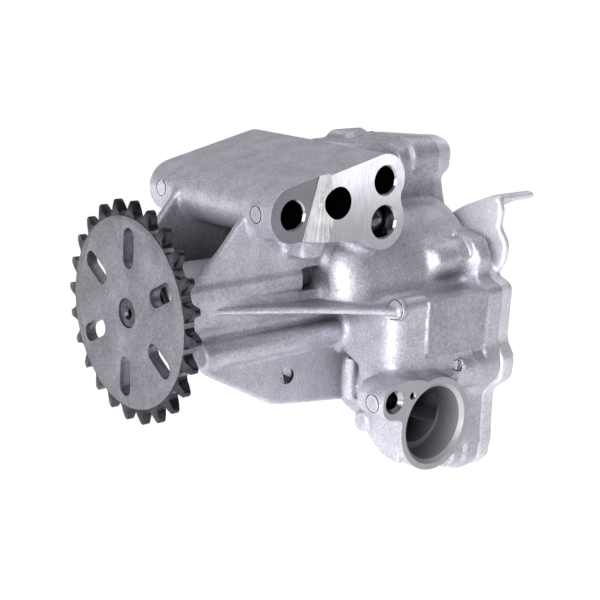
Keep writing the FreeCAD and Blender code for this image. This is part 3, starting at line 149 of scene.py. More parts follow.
@dataclass(frozen=True)
class MetalFinish:
    """A metal and how its surface was made.

    The grain of a real surface is finer than the render can show, so grain_mm draws it as coarse
    as it needs to show. Where metal is below 1, oxide and a rough skin make the face partly matt.
    """

    name: str
    colour: str
    shade: str
    roughness: float
    metal: float = 1.0
    spread: float = 0.06
    grain_mm: float = 0.5
    grain_height_mm: float = 0.02
    mottle_mm: float = 9.0
    stretch: tuple[float, float, float] = (1.0, 1.0, 1.0)
    # How much outer edges are lightened, as painted highlight with some wear.
    edge_wear_and_highlight: float = 0.0
    # Painted shade in recesses: its reach, its darkest shade and the open level where it ends.
    crevice_mm: float = 0.0
    crevice_shade: float = 0.4
    crevice_open: float = 0.75
    dimple_mm: float = 0.0
    dimple_height_mm: float = 0.0
    fan_mm: tuple[float, float] | None = None

    def build(self) -> Material:
        """Make the material.

        Returns:
            A material with the finish's colours, grain and sheen.
        """
        material = bpy.data.materials.new(self.name)
        material.use_nodes = True
        tree = material.node_tree
        tree.nodes.clear()
        place = add_node(tree, "ShaderNodeTexCoord")
        if self.fan_mm:
            fine = self.fan_lines(tree, place.outputs["Object"])
        else:
            grain_scale = [1.0 / (self.grain_mm * MM * s) for s in self.stretch]
            fine = add_node(
                tree,
                "ShaderNodeMapping",
                {"Scale": grain_scale},
                {"Vector": place.outputs["Object"]},
            )
        grain = add_node(
            tree,
            "ShaderNodeTexNoise",
            {"Scale": 1.0, "Detail": 3.0, "Roughness": 0.6},
            {"Vector": fine.outputs[0]},
        )
        mottle = add_node(
            tree,
            "ShaderNodeTexNoise",
            {"Scale": 1.0 / (self.mottle_mm * MM), "Detail": 4.0, "Roughness": 0.65},
            {"Vector": place.outputs["Object"]},
        )
        both = add_node(
            tree,
            "ShaderNodeMath",
            {"operation": "MULTIPLY_ADD", 1: GRAIN_WEIGHT},
            {0: grain.outputs["Fac"], 2: mottle.outputs["Fac"]},
        )
        share = add_node(
            tree, "ShaderNodeMapRange", span_settings(TONE_SPAN), {"Value": both.outputs[0]}
        )
        tone = add_node(tree, "ShaderNodeValToRGB", links={"Fac": share.outputs[0]})
        tone.color_ramp.elements[0].color = linear(self.shade)
        tone.color_ramp.elements[1].color = linear(self.colour)
        colour = tone.outputs["Color"]
        # Painted highlight, with some wear, along outer edges.
        if self.edge_wear_and_highlight > 0:
            colour = self.paint_edge_wear_and_highlight(tree, colour)
        # Painted shade in recesses, from how open each point is.
        if self.crevice_mm > 0:
            colour = self.paint_crevice_shade(tree, colour)
        sheen = (self.roughness + self.spread, self.roughness - self.spread)
        dull = add_node(
            tree,
            "ShaderNodeMapRange",
            span_settings(MOTTLE_SPAN, sheen),
            {"Value": mottle.outputs["Fac"]},
        )
        bump = add_node(
            tree,
            "ShaderNodeBump",
            {"Strength": 1.0, "Distance": self.grain_height_mm * MM},
            {"Height": grain.outputs["Fac"]},
        )
        if self.dimple_mm > 0:
            dimples = add_node(
                tree,
                "ShaderNodeTexNoise",
                {"Scale": 1.0 / (self.dimple_mm * MM), "Detail": 2.0},
                {"Vector": place.outputs["Object"]},
            )
            bump = add_node(
                tree,
                "ShaderNodeBump",
                {"Strength": 1.0, "Distance": self.dimple_height_mm * MM},
                {"Height": dimples.outputs["Fac"], "Normal": bump.outputs[0]},
            )
        shader = add_node(
            tree,
            "ShaderNodeBsdfPrincipled",
            {"Metallic": self.metal},
            {"Base Color": colour, "Roughness": dull.outputs[0], "Normal": bump.outputs[0]},
        )
        add_node(tree, "ShaderNodeOutputMaterial", links={"Surface": shader.outputs[0]})
        return material

    def fan_lines(self, tree: NodeTree, place: NodeSocket) -> Node:
        """Make a pattern of lines that spread in X and Z from a point, as a cutter leaves them.

        Args:
            tree: The material's node tree.
            place: The place on the object.

        Returns:
            A node whose first output changes across the lines only.
        """
        x, z = self.fan_mm
        apart = add_node(
            tree,
            "ShaderNodeVectorMath",
            {"operation": "SUBTRACT", 1: (x * MM, 0, z * MM)},
            {0: place},
        )
        parts = add_node(tree, "ShaderNodeSeparateXYZ", links={0: apart.outputs[0]})
        turn = add_node(
            tree,
            "ShaderNodeMath",
            {"operation": "ARCTAN2"},
            {0: parts.outputs["X"], 1: parts.outputs["Z"]},
        )
        lines = add_node(
            tree,
            "ShaderNodeMath",
            {"operation": "MULTIPLY", 1: FAN_REACH_MM / self.grain_mm},
            {0: turn.outputs[0]},
        )
        return add_node(tree, "ShaderNodeCombineXYZ", links={"X": lines.outputs[0]})

    def paint_crevice_shade(self, tree: NodeTree, colour: NodeSocket) -> NodeSocket:
        """Paint shade into recesses: the less open a point is to its surroundings, the darker, as
        shade falls there.

        Args:
            tree: The material's node tree.
            colour: The colour so far.

        Returns:
            The colour with painted shade in its recesses.
        """
        settings = {"Distance": self.crevice_mm * MM, "samples": 8}
        reach = add_node(tree, "ShaderNodeAmbientOcclusion", settings)
        span = (CREVICE_FLOOR * self.crevice_open, self.crevice_open)
        return self.scaled(tree, colour, reach.outputs["AO"], span, (self.crevice_shade, 1.0))

    def paint_edge_wear_and_highlight(self, tree: NodeTree, colour: NodeSocket) -> NodeSocket:
        """Lighten outer edges: a painted highlight along them, which also stands for the polish of
        handling.

        Args:
            tree: The material's node tree.
            colour: The colour so far.

        Returns:
            The colour with painted highlight and wear on its edges.
        """
        form = add_node(tree, "ShaderNodeNewGeometry")
        shades = (1.0, 1.0 + self.edge_wear_and_highlight)
        return self.scaled(tree, colour, form.outputs["Pointiness"], EDGE_SPAN, shades)

    def scaled(
        self,
        tree: NodeTree,
        colour: NodeSocket,
        reading: NodeSocket,
        span: tuple[float, float],
        shades: tuple[float, float],
    ) -> NodeSocket:
        """Multiply a colour by a shade that follows a reading of the form.

        Args:
            tree: The material's node tree.
            colour: The colour so far.
            reading: The reading.
            span: The readings between which the shade changes.
            shades: The shade at each end of the span.

        Returns:
            The new colour.
        """
        shade = add_node(
            tree, "ShaderNodeMapRange", span_settings(span, shades), {"Value": reading}
        )
        both = {0: colour, 1: shade.outputs[0]}
        return add_node(tree, "ShaderNodeVectorMath", {"operation": "MULTIPLY"}, both).outputs[0]


# Die cast aluminium, shot blasted: an even, slightly violet grey with a fine matt grain. The
# shot's pits are about 0.2 mm wide and are drawn 0.7 mm wide. The die's own waves are 2.6 mm wide.
CAST_ALUMINIUM = MetalFinish(
    name="cast_aluminium_shot_blasted",
    colour="#CECCD6",
    shade="#A2A0AB",
    roughness=0.47,
    metal=0.58,
    spread=0.03,
    grain_mm=0.7,
    grain_height_mm=0.14,
    mottle_mm=7.0,
    # A painted highlight with some wear along its outer edges, and painted shade in its recesses.
    edge_wear_and_highlight=0.35,
    crevice_mm=16.0,
    crevice_shade=0.08,
    crevice_open=0.62,
    dimple_mm=2.6,
    dimple_height_mm=0.05,
)
# The cover's thinner casting: the same alloy painted lighter than the housing, a painted light that
# makes its lug read as lit, and open to the light all round, so with no painted shade in its
# recesses.
PAINTED_LIGHT_COVER_ALUMINIUM = replace(
    CAST_ALUMINIUM,
    name="cast_aluminium_cover_painted_light",
    colour="#E9E7F0",
    shade="#C4C2CC",
    metal=0.4,
    crevice_mm=0.0,
)
# A plain face of the die: smoother than the blasted skin, with a soft sheen. Its flow marks are
# the 14 mm mottle, and its grain of about 0.3 mm is drawn 1.2 mm wide.
PLAIN_CAST_ALUMINIUM = MetalFinish(
    name="cast_aluminium_plain_face",
    colour="#ACAAB5",
    shade="#8C8A95",
    roughness=0.34,
    metal=0.7,
    spread=0.05,
    grain_mm=1.2,
    grain_height_mm=0.02,
    mottle_mm=14.0,
)
# Milled aluminium: smooth, so it turns from grey to bright across a face, with fine tool lines
# along Z. They are about 0.1 mm apart and are drawn 0.35 mm apart.
MILLED_ALUMINIUM = MetalFinish(
    name="aluminium_milled",
    colour="#A3A2A8",
    shade="#929197",
    roughness=0.17,
    spread=0.01,
    grain_mm=0.35,
    grain_height_mm=0.01,
    mottle_mm=11.0,
    stretch=(1.0, 1.0, 14.0),
)
# The lower bolt seat, cut by the mill's end: an even, darker grey. Its marks of about 0.1 mm are
# drawn 0.35 mm wide.
END_MILLED_ALUMINIUM = MetalFinish(
    name="aluminium_end_milled",
    colour="#7E7D84",
    shade="#74737A",
    roughness=0.32,
    spread=0.02,
    grain_mm=0.35,
    grain_height_mm=0.01,
)
# The slope between the bolt seats: bright and dark cutter lines that fan out from its top, as
# coarse as they look in the real one.
FAN_MILLED_ALUMINIUM = MetalFinish(
    name="aluminium_fan_milled",
    colour="#F4F4F7",
    shade="#5E5D63",
    roughness=0.30,
    metal=0.3,
    spread=0.02,
    grain_mm=0.5,
    grain_height_mm=0.0,
    fan_mm=(49.6, 43.0),
)
# Bored aluminium: dull from the tool, with painted shade that grows the deeper it lies. The feed
# marks of about 0.1 mm are drawn 0.5 mm wide.
BORED_ALUMINIUM = MetalFinish(
    name="aluminium_bored",
    colour="#B4B3BA",
    shade="#A3A2A9",
    roughness=0.40,
    metal=0.5,
    grain_mm=0.5,
    grain_height_mm=0.02,
    crevice_mm=60.0,
    crevice_shade=0.03,
    crevice_open=0.45,
)
# Sintered steel of the disc and the gears: mid grey, slightly porous, with a soft sheen. Its pores
# of about 0.1 mm are drawn 0.7 mm wide.
SINTERED_STEEL = MetalFinish(
    name="steel_sintered",
    colour="#8A888F",
    shade="#6C6A72",
    roughness=0.46,
    spread=0.03,
    grain_mm=0.7,
    grain_height_mm=0.06,
    mottle_mm=8.0,
    # Painted shade in its small recesses.
    crevice_mm=4.0,
    crevice_shade=0.5,
)
# Hardened teeth: darkened by heat and oil, so that they read as a dark ring round the disc. The
# scale's specks of about 0.1 mm are drawn 0.6 mm wide.
HARDENED_STEEL = MetalFinish(
    name="steel_teeth_hardened",
    colour="#47454B",
    shade="#323036",
    roughness=0.36,
    spread=0.03,
    grain_mm=0.6,
    grain_height_mm=0.04,
    mottle_mm=5.0,
    # Painted shade in its small recesses.
    crevice_mm=4.0,
    crevice_shade=0.5,
)
# Blackened steel of the drive shaft: nearly black, with a dull sheen. Its oxide crystals can't be
# seen, so 0.8 mm specks stand for them.
BLACK_STEEL = MetalFinish(
    name="steel_blackened",
    colour="#55535A",
    shade="#333137",
    roughness=0.38,
    grain_mm=0.8,
    grain_height_mm=0.03,
    mottle_mm=3.0,
)
# Ground steel: dark grey and smooth, with a clear sheen. The wheel's scratches of about 0.02 mm
# are drawn 0.3 mm wide.
GROUND_STEEL = MetalFinish(
    name="steel_ground",
    colour="#6A696F",
    shade="#55545A",
    roughness=0.26,
    grain_mm=0.3,
    grain_height_mm=0.006,
)
# Zinc plated steel: light grey with a faint warm cast. Its crystals are too fine to see, and
# 0.6 mm specks stand for them.
ZINC_PLATE = MetalFinish(
    name="steel_zinc_plated",
    colour="#A9A8A4",
    shade="#93928F",
    roughness=0.32,
    grain_mm=0.6,
    grain_height_mm=0.008,
)
# Bearing bronze, bored: warm yellow brown and smooth, with feed marks of 0.1 mm drawn 0.4 mm wide.
BEARING_BRONZE = MetalFinish(
    name="bronze_bored",
    colour="#B08A55",
    shade="#97743F",
    roughness=0.30,
    grain_mm=0.4,
    grain_height_mm=0.006,
)
# Annealed copper of the sealing ring: a soft orange red line round the plug, with grains of about
# 0.1 mm drawn 0.5 mm wide.
COPPER = MetalFinish(
    name="copper_annealed",
    colour="#B87A5C",
    shade="#9F654A",
    roughness=0.35,
    grain_mm=0.5,
    grain_height_mm=0.006,
)


def mount(name: str) -> dict:
    """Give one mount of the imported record."""
    return next(m for m in frame["record"]["mounts"] if m["name"] == name)


def mouth(name: str) -> Vector:
    """Find the point where a bore's axis leaves its wall.

    Args:
        name: The mount's name.

    Returns:
        The point, in metres.
    """
    found = mount(name)
    half = found["dims"]["length_mm"] * MM / 2
    return Vector(found["pos_m"]) + Vector(found["axis"]) * half


def node_arrays(node: str) -> tuple[np.ndarray, np.ndarray]:
    """Read a CAD node's points and triangles.

    Args:
        node: The node's name.

    Returns:
        Points as (n, 3) in metres, and triangles as (m, 3).
    """
    mesh = frame["nodes"][node].data
    points = np.zeros(len(mesh.vertices) * 3, np.float32)
    mesh.vertices.foreach_get("co", points)
    mesh.calc_loop_triangles()
    corners = np.zeros(len(mesh.loop_triangles) * 3, np.int32)
    mesh.loop_triangles.foreach_get("vertices", corners)
    return points.reshape(-1, 3), corners.reshape(-1, 3)


def axis_centres(node: str, reach_mm: float) -> list[tuple[float, float]]:
    """Find the (Y, Z) centres of a node's separate round solids that run along X.

    Args:
        node: The node's name.
        reach_mm: Points nearer than this to a group's first point belong to it.

    Returns:
        One centre for each solid, in metres.
    """
    groups: list[list[np.ndarray]] = []
    for point in node_arrays(node)[0][:, 1:]:
        for group in groups:
            if np.hypot(*(group[0] - point)) < reach_mm * MM:
                group.append(point)
                break
        else:
            groups.append([point])
    spans = [(np.min(group, axis=0) + np.max(group, axis=0)) / 2 for group in groups]
    return [(float(span[0]), float(span[1])) for span in spans]


def object_from(name: str, mesh: Mesh) -> Object:
    """Put a mesh into the scene as an object.

    Args:
        name: The object's name.
        mesh: Its mesh.

    Returns:
        The object.
    """
    piece = bpy.data.objects.new(name, mesh)
    bpy.context.scene.collection.objects.link(piece)
    return piece


def join_loops(mesh: BMesh, one: list, two: list) -> None:
    """Add a band of faces between two loops of points.

    Args:
        mesh: The mesh that grows.
        one: The first loop.
        two: The second loop, with as many points.
    """
    for i in range(len(one)):
        j = (i + 1) % len(one)
        mesh.faces.new((one[i], one[j], two[j], two[i]))


def lathe(
    mesh: BMesh,
    start: Vector,
    along: Vector,
    profile: tuple[tuple[float, float], ...],
    sides: int = 96,
    hollow: bool = False,
) -> None:
    """Add a closed turned solid to a mesh.

    Args:
        mesh: The mesh that grows.
        start: Where the profile's distance is zero, in metres.
        along: The unit direction of the axis.
        profile: (distance, radius) pairs in millimetres, from end to end, or round the
            section of a ring.
        sides: How many flats the circle has.
        hollow: Whether it is a ring.
    """
    across = along.orthogonal().normalized()
    other = along.cross(across)
    loops = []
    for distance, radius in profile:
        middle = start + along * (distance * MM)
        loop = []
        for i in range(sides):
            angle = 2 * math.pi * i / sides
            outward = across * math.cos(angle) + other * math.sin(angle)
            loop.append(mesh.verts.new(middle + outward * (radius * MM)))
        loops.append(loop)
    for one, two in zip(loops, loops[1:] + loops[:1] if hollow else loops[1:]):
        join_loops(mesh, one, two)
    if not hollow:
        mesh.faces.new(tuple(reversed(loops[0])))
        mesh.faces.new(tuple(loops[-1]))


def hexahedron(mesh: BMesh, low: list[Vector], high: list[Vector]) -> None:
    """Add a closed solid between two quadrilaterals.

    Args:
        mesh: The mesh that grows.
        low: Four corners in order.
        high: The four corners across from them.
    """
    below = [mesh.verts.new(p) for p in low]
    above = [mesh.verts.new(p) for p in high]
    mesh.faces.new(tuple(reversed(below)))
    mesh.faces.new(tuple(above))
    join_loops(mesh, below, above)


def box_solid(mesh: BMesh, low: tuple, high: tuple) -> None:
    """Add a box to a mesh.

    Args:
        mesh: The mesh that grows.
        low: The lowest corner, in millimetres.
        high: The highest corner, in millimetres.
    """
    x0, y0, z0 = (v * MM for v in low)
    x1, y1, z1 = (v * MM for v in high)
    outline = ((x0, y0), (x1, y0), (x1, y1), (x0, y1))
    below, above = ([Vector((x, y, z)) for x, y in outline] for z in (z0, z1))
    hexahedron(mesh, below, above)


def chamfered(radius: float, depth: float, chamfer: float, above: float = 5.0) -> tuple:
    """Give the profile that cuts a bore with a chamfered mouth.

    Args:
        radius: The bore's radius, as all else in millimetres.
        depth: How deep it goes.
        chamfer: The chamfer's width and depth.
        above: How far the tool stands out of the wall.

    Returns:
        The profile, for lathe.
    """
    wide = radius + chamfer
    return ((-above, wide), (0, wide), (chamfer, radius), (depth, radius))


def carve(piece: Object, cutter: BMesh, finish: Material) -> None:
    """Cut solids out of a piece; the new faces take the cutter's finish.

    Args:
        piece: The object that is cut.
        cutter: Closed solids that don't overlap each other.
        finish: The material of the cut faces.
    """
    bmesh.ops.recalc_face_normals(cutter, faces=cutter.faces)
    mesh = bpy.data.meshes.new("tool")
    cutter.to_mesh(mesh)
    cutter.free()
    mesh.materials.append(finish)
    tool = object_from("tool", mesh)
    boolean = piece.modifiers.new("cut", "BOOLEAN")
    boolean.operation = "DIFFERENCE"
    boolean.solver = "MANIFOLD"
    boolean.material_mode = "TRANSFER"
    boolean.object = tool
    graph = bpy.context.evaluated_depsgraph_get()
    made = bpy.data.meshes.new_from_object(piece.evaluated_get(graph))
    piece.modifiers.clear()
    old = piece.data
    piece.data = made
    bpy.data.objects.remove(tool)
    bpy.data.meshes.remove(mesh)
    bpy.data.meshes.remove(old)


@dataclass
class RoundZone:
    """A stretch of cylinder along an axis, in metres."""

    axis: Axis
    centre: tuple[float, float]
    radius: float
    start: float
    end: float


class CastField:
    """Signed distances to a piece's surface on a regular grid, negative inside."""

    # Grid steps that are measured on each side of the surface.
    REACH = 11
    # Distances over which softening comes in, inside a melted zone and outside a kept one.
    MELT_RAMP_MM = 2.5
    KEEP_RAMP_MM = 0.8

    def __init__(self, node: str, pitch: float) -> None:
        """Measure a CAD node.

        Args:
            node: The node's name.
            pitch: The grid's step in metres.
        """
        points, corners = node_arrays(node)
        self.pitch = pitch
        self.transform = openvdb.createLinearTransform(voxelSize=pitch)
        grid = openvdb.FloatGrid.createLevelSetFromPolygons(
            points.astype(np.float64),
            triangles=corners.astype(np.uint32),
            transform=self.transform,
            halfWidth=float(self.REACH),
        )
        low, high = grid.evalActiveVoxelBoundingBox()
        self.low = tuple(low)
        self.far = grid.background
        self.values = np.full([high[i] - low[i] + 1 for i in range(3)], self.far, np.float32)
        grid.copyToArray(self.values, ijk=self.low)

    def line(self, axis: Axis) -> np.ndarray:
        """Give the grid's places along one axis.

        Args:
            axis: The axis.

        Returns:
            The places in metres, shaped to combine with the other two axes.
        """
        count = self.values.shape[axis.value]
        places = (self.low[axis.value] + np.arange(count)) * self.pitch
        shape = [1, 1, 1]
        shape[axis.value] = count
        return places.reshape(shape).astype(np.float32)

    def step(self, axis: Axis, place: float) -> int:
        """Give the grid step nearest to a place along an axis."""
        step = round(place / self.pitch) - self.low[axis.value]
        return int(np.clip(step, 0, self.values.shape[axis.value] - 1))

    def distance_to(self, zone: RoundZone) -> np.ndarray:
        """Measure how far the grid's points lie from a stretch of cylinder.

        Args:
            zone: The cylinder.

        Returns:
            Signed distances in metres, negative inside.
        """
        others = [axis for axis in Axis if axis is not zone.axis]
        first = self.line(others[0]) - zone.centre[0]
        second = self.line(others[1]) - zone.centre[1]
        around = np.sqrt(first * first + second * second) - zone.radius
        along = self.line(zone.axis)
        ends = np.maximum(zone.start - along, along - zone.end)
        return np.maximum(around, ends)

    def fill(self, zone: RoundZone) -> None:
        """Make a stretch of cylinder solid."""
        np.minimum(self.values, self.distance_to(zone), out=self.values)

    def fill_prism(self, outline_mm: tuple, low_mm: float, high_mm: float) -> None:
        """Make a straight prism along Y solid.

        Args:
            outline_mm: (X, Z) corners of a convex outline, turning from +X to -Z.
            low_mm: Lowest Y.
            high_mm: Highest Y.
        """
        y = self.line(Axis.Y)
        depth = np.maximum(low_mm * MM - y, y - high_mm * MM)
        for (x0, z0), (x1, z1) in zip(outline_mm, outline_mm[1:] + outline_mm[:1]):
            run = math.hypot(x1 - x0, z1 - z0)
            ahead_x, ahead_z = (x1 - x0) / run, (z1 - z0) / run
            past_x, past_z = self.line(Axis.X) - x0 * MM, self.line(Axis.Z) - z0 * MM
            depth = np.maximum(depth, past_z * ahead_x - past_x * ahead_z)
        np.minimum(self.values, depth, out=self.values)

    def lengthen(
        self, axis: Axis, side: Side, place: float, room: float, low: tuple, high: tuple
    ) -> None:
        """Carry the section at a plane outwards, so that a cut there leaves a crisp edge.

        Args:
            axis: The plane's normal.
            side: The way that the plane faces.
            place: The plane's place along the axis, in metres.
            room: How far the section is carried, in metres.
            low: Lowest corner of the part that changes, in metres.
            high: Highest corner of the part that changes, in metres.
        """
        inside = self.step(axis, place - side.value * 2 * self.pitch)
        outside = self.step(axis, place + side.value * room)
        spans = [slice(self.step(a, low[a.value]), self.step(a, high[a.value]) + 1) for a in Axis]
        source = list(spans)
        source[axis.value] = slice(inside, inside + 1)
        target = list(spans)
        first, last = sorted((inside, outside))
        target[axis.value] = slice(first, last + 1)
        section = self.values[tuple(source)]
        current = self.values[tuple(target)]
        self.values[tuple(target)] = np.minimum(current, section)

    def blurred(self, spread: float) -> np.ndarray:
        """Blur the distances.

        Args:
            spread: The Gaussian's spread, in metres.

        Returns:
            The blurred distances.
        """
        sigma = spread / self.pitch
        reach = int(math.ceil(3 * sigma))
        weights = np.exp(-(np.arange(-reach, reach + 1) ** 2) / (2 * sigma * sigma))
        weights /= weights.sum()
        result = self.values
        for axis in range(3):
            margin = [(reach, reach) if i == axis else (0, 0) for i in range(3)]
            wide = np.pad(result, margin, mode="edge")
            result = np.zeros_like(result)
            for i, weight in enumerate(weights):
                cut = [slice(None)] * 3
                cut[axis] = slice(i, i + result.shape[axis])
                result += np.float32(weight) * wide[tuple(cut)]
        return result

    def soften(
        self, edge: float, corner: float, kept: list[RoundZone], melted: list[RoundZone]
    ) -> None:
        """Round outer edges a little and fill inner corners more, as a casting has them.

        Args:
            edge: Spread that rounds outer edges, in metres.
            corner: Spread that fills inner corners, in metres.
            kept: Zones that stay as they are, such as fitted bores.
            melted: Zones whose outer edges are rounded as much as the inner corners.
        """
        round_off = self.blurred(corner)
        soft = np.minimum(self.blurred(edge), round_off)
        for zone in melted:
            share = np.clip(-self.distance_to(zone) / (self.MELT_RAMP_MM * MM), 0, 1)
            soft = share * round_off + (1 - share) * soft
        share = np.ones_like(soft)
        for zone in kept:
            ramp = np.clip(self.distance_to(zone) / (self.KEEP_RAMP_MM * MM), 0, 1)
            share = np.minimum(share, ramp)
        self.values = share * soft + (1 - share) * self.values

    def mesh(self, name: str) -> Mesh:
        """Make the surface where the distance is zero.

        Args:
            name: The mesh's name.

        Returns:
            The mesh.
        """
        grid = openvdb.FloatGrid(float(self.far))
        grid.transform = self.transform
        grid.copyFromArray(np.ascontiguousarray(self.values), ijk=self.low)
        grid.gridClass = openvdb.GridClass.LEVEL_SET
        points, triangles, quads = grid.convertToPolygons(isovalue=0.0, adaptivity=0.0)
        made = bpy.data.meshes.new(name)
        faces = [tuple(f) for f in quads[:, ::-1].tolist()]
        faces += [tuple(f) for f in triangles[:, ::-1].tolist()]
        made.from_pydata(points.tolist(), [], faces)
        made.update()
        return made


@dataclass
class Casting:
    """A die cast piece: soft as cast, crisp where it is machined."""

    node: str
    slot: str
    pitch_mm: float = 0.45
    edge_mm: float = 0.55
    corner_mm: float = 1.7
    joint_room_mm: float = 2.5
    joint_low_mm: tuple = (-60, -80)
    joint_high_mm: tuple = (60, 60)
    cut_room_mm: float = 8.0
    shaft_margin_mm: float = 1.4
    chamber_margin_mm: float = 1.2
    fastener_zones_mm: tuple = (("cover_screws", 4.2), ("dowel_pins", 3.8))
    fastener_reach_mm: float = 7.0
    cast_angle: float = 35.0
    milled_angle: float = 12.0

    def kept(self) -> list[RoundZone]:
        """List the fitted bores that stay as the frame has them.

        Returns:
            One zone for each bore and each stretch that a piece slides through.
        """
        zones = []
        for name in ("drive_shaft", "front_bush", "chamber_bush", "cover_bush", "idler_shaft"):
            zones.append(self.round_zone(name, self.shaft_margin_mm))
        for name in ("drive_gear", "driven_gear", "relief_piston", "relief_plug", "plug_seal_ring"):
            zones.append(self.round_zone(name, self.chamber_margin_mm))
        valve = self.round_zone("relief_piston", self.chamber_margin_mm)
        valve.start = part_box("relief_plug")[0].x
        zones.append(valve)
        for node, radius in self.fastener_zones_mm:
            low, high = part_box(node)
            for centre in axis_centres(node, self.fastener_reach_mm):
                zones.append(RoundZone(Axis.X, centre, radius * MM, low.x - MM, high.x + MM))
        return zones

    def round_zone(self, node: str, margin_mm: float) -> RoundZone:
        """Find the cylinder along X round a node.

        Args:
            node: The node's name.
            margin_mm: How far the cylinder stands out of the node.

        Returns:
            The cylinder.
        """
        low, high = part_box(node)
        middle = (low + high) / 2
        margin = margin_mm * MM
        radius = (high.z - low.z) / 2 + margin
        return RoundZone(Axis.X, (middle.y, middle.z), radius, low.x - margin, high.x + margin)

    def cut_joint(self, tool: BMesh, start: float, end: float) -> None:
        """Add a block beside the cover joint to a cutter.

        Args:
            tool: The cutter that grows.
            start: X where the block begins, in millimetres.
            end: X where it ends.
        """
        box_solid(tool, (start, *self.joint_low_mm), (end, *self.joint_high_mm))

    def sharpen(self, mesh: Mesh) -> None:
        """Mark the edges that machining leaves sharp, and the casting's few sharp ones.

        Args:
            mesh: The piece's mesh, with the cast skin as its first material.
        """
        solid = bmesh.new()
        solid.from_mesh(mesh)
        cast_limit, milled_limit = math.radians(self.cast_angle), math.radians(self.milled_angle)
        for edge in solid.edges:
            if len(edge.link_faces) != 2:
                continue
            one, two = edge.link_faces
            if one.material_index != two.material_index:
                edge.smooth = False
            elif edge.calc_face_angle(0.0) > (milled_limit if one.material_index else cast_limit):
                edge.smooth = False
        solid.to_mesh(mesh)
        solid.free()

    def dress(self, piece: Object) -> Object:
        """Shade the piece, let it ride on the housing and stand for its node.

        Args:
            piece: The finished piece.

        Returns:
            The same piece.
        """
        piece.data.polygons.foreach_set("use_smooth", [True] * len(piece.data.polygons))
        self.sharpen(piece.data)
        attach(piece, "housing")
        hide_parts(self.node)
        return piece


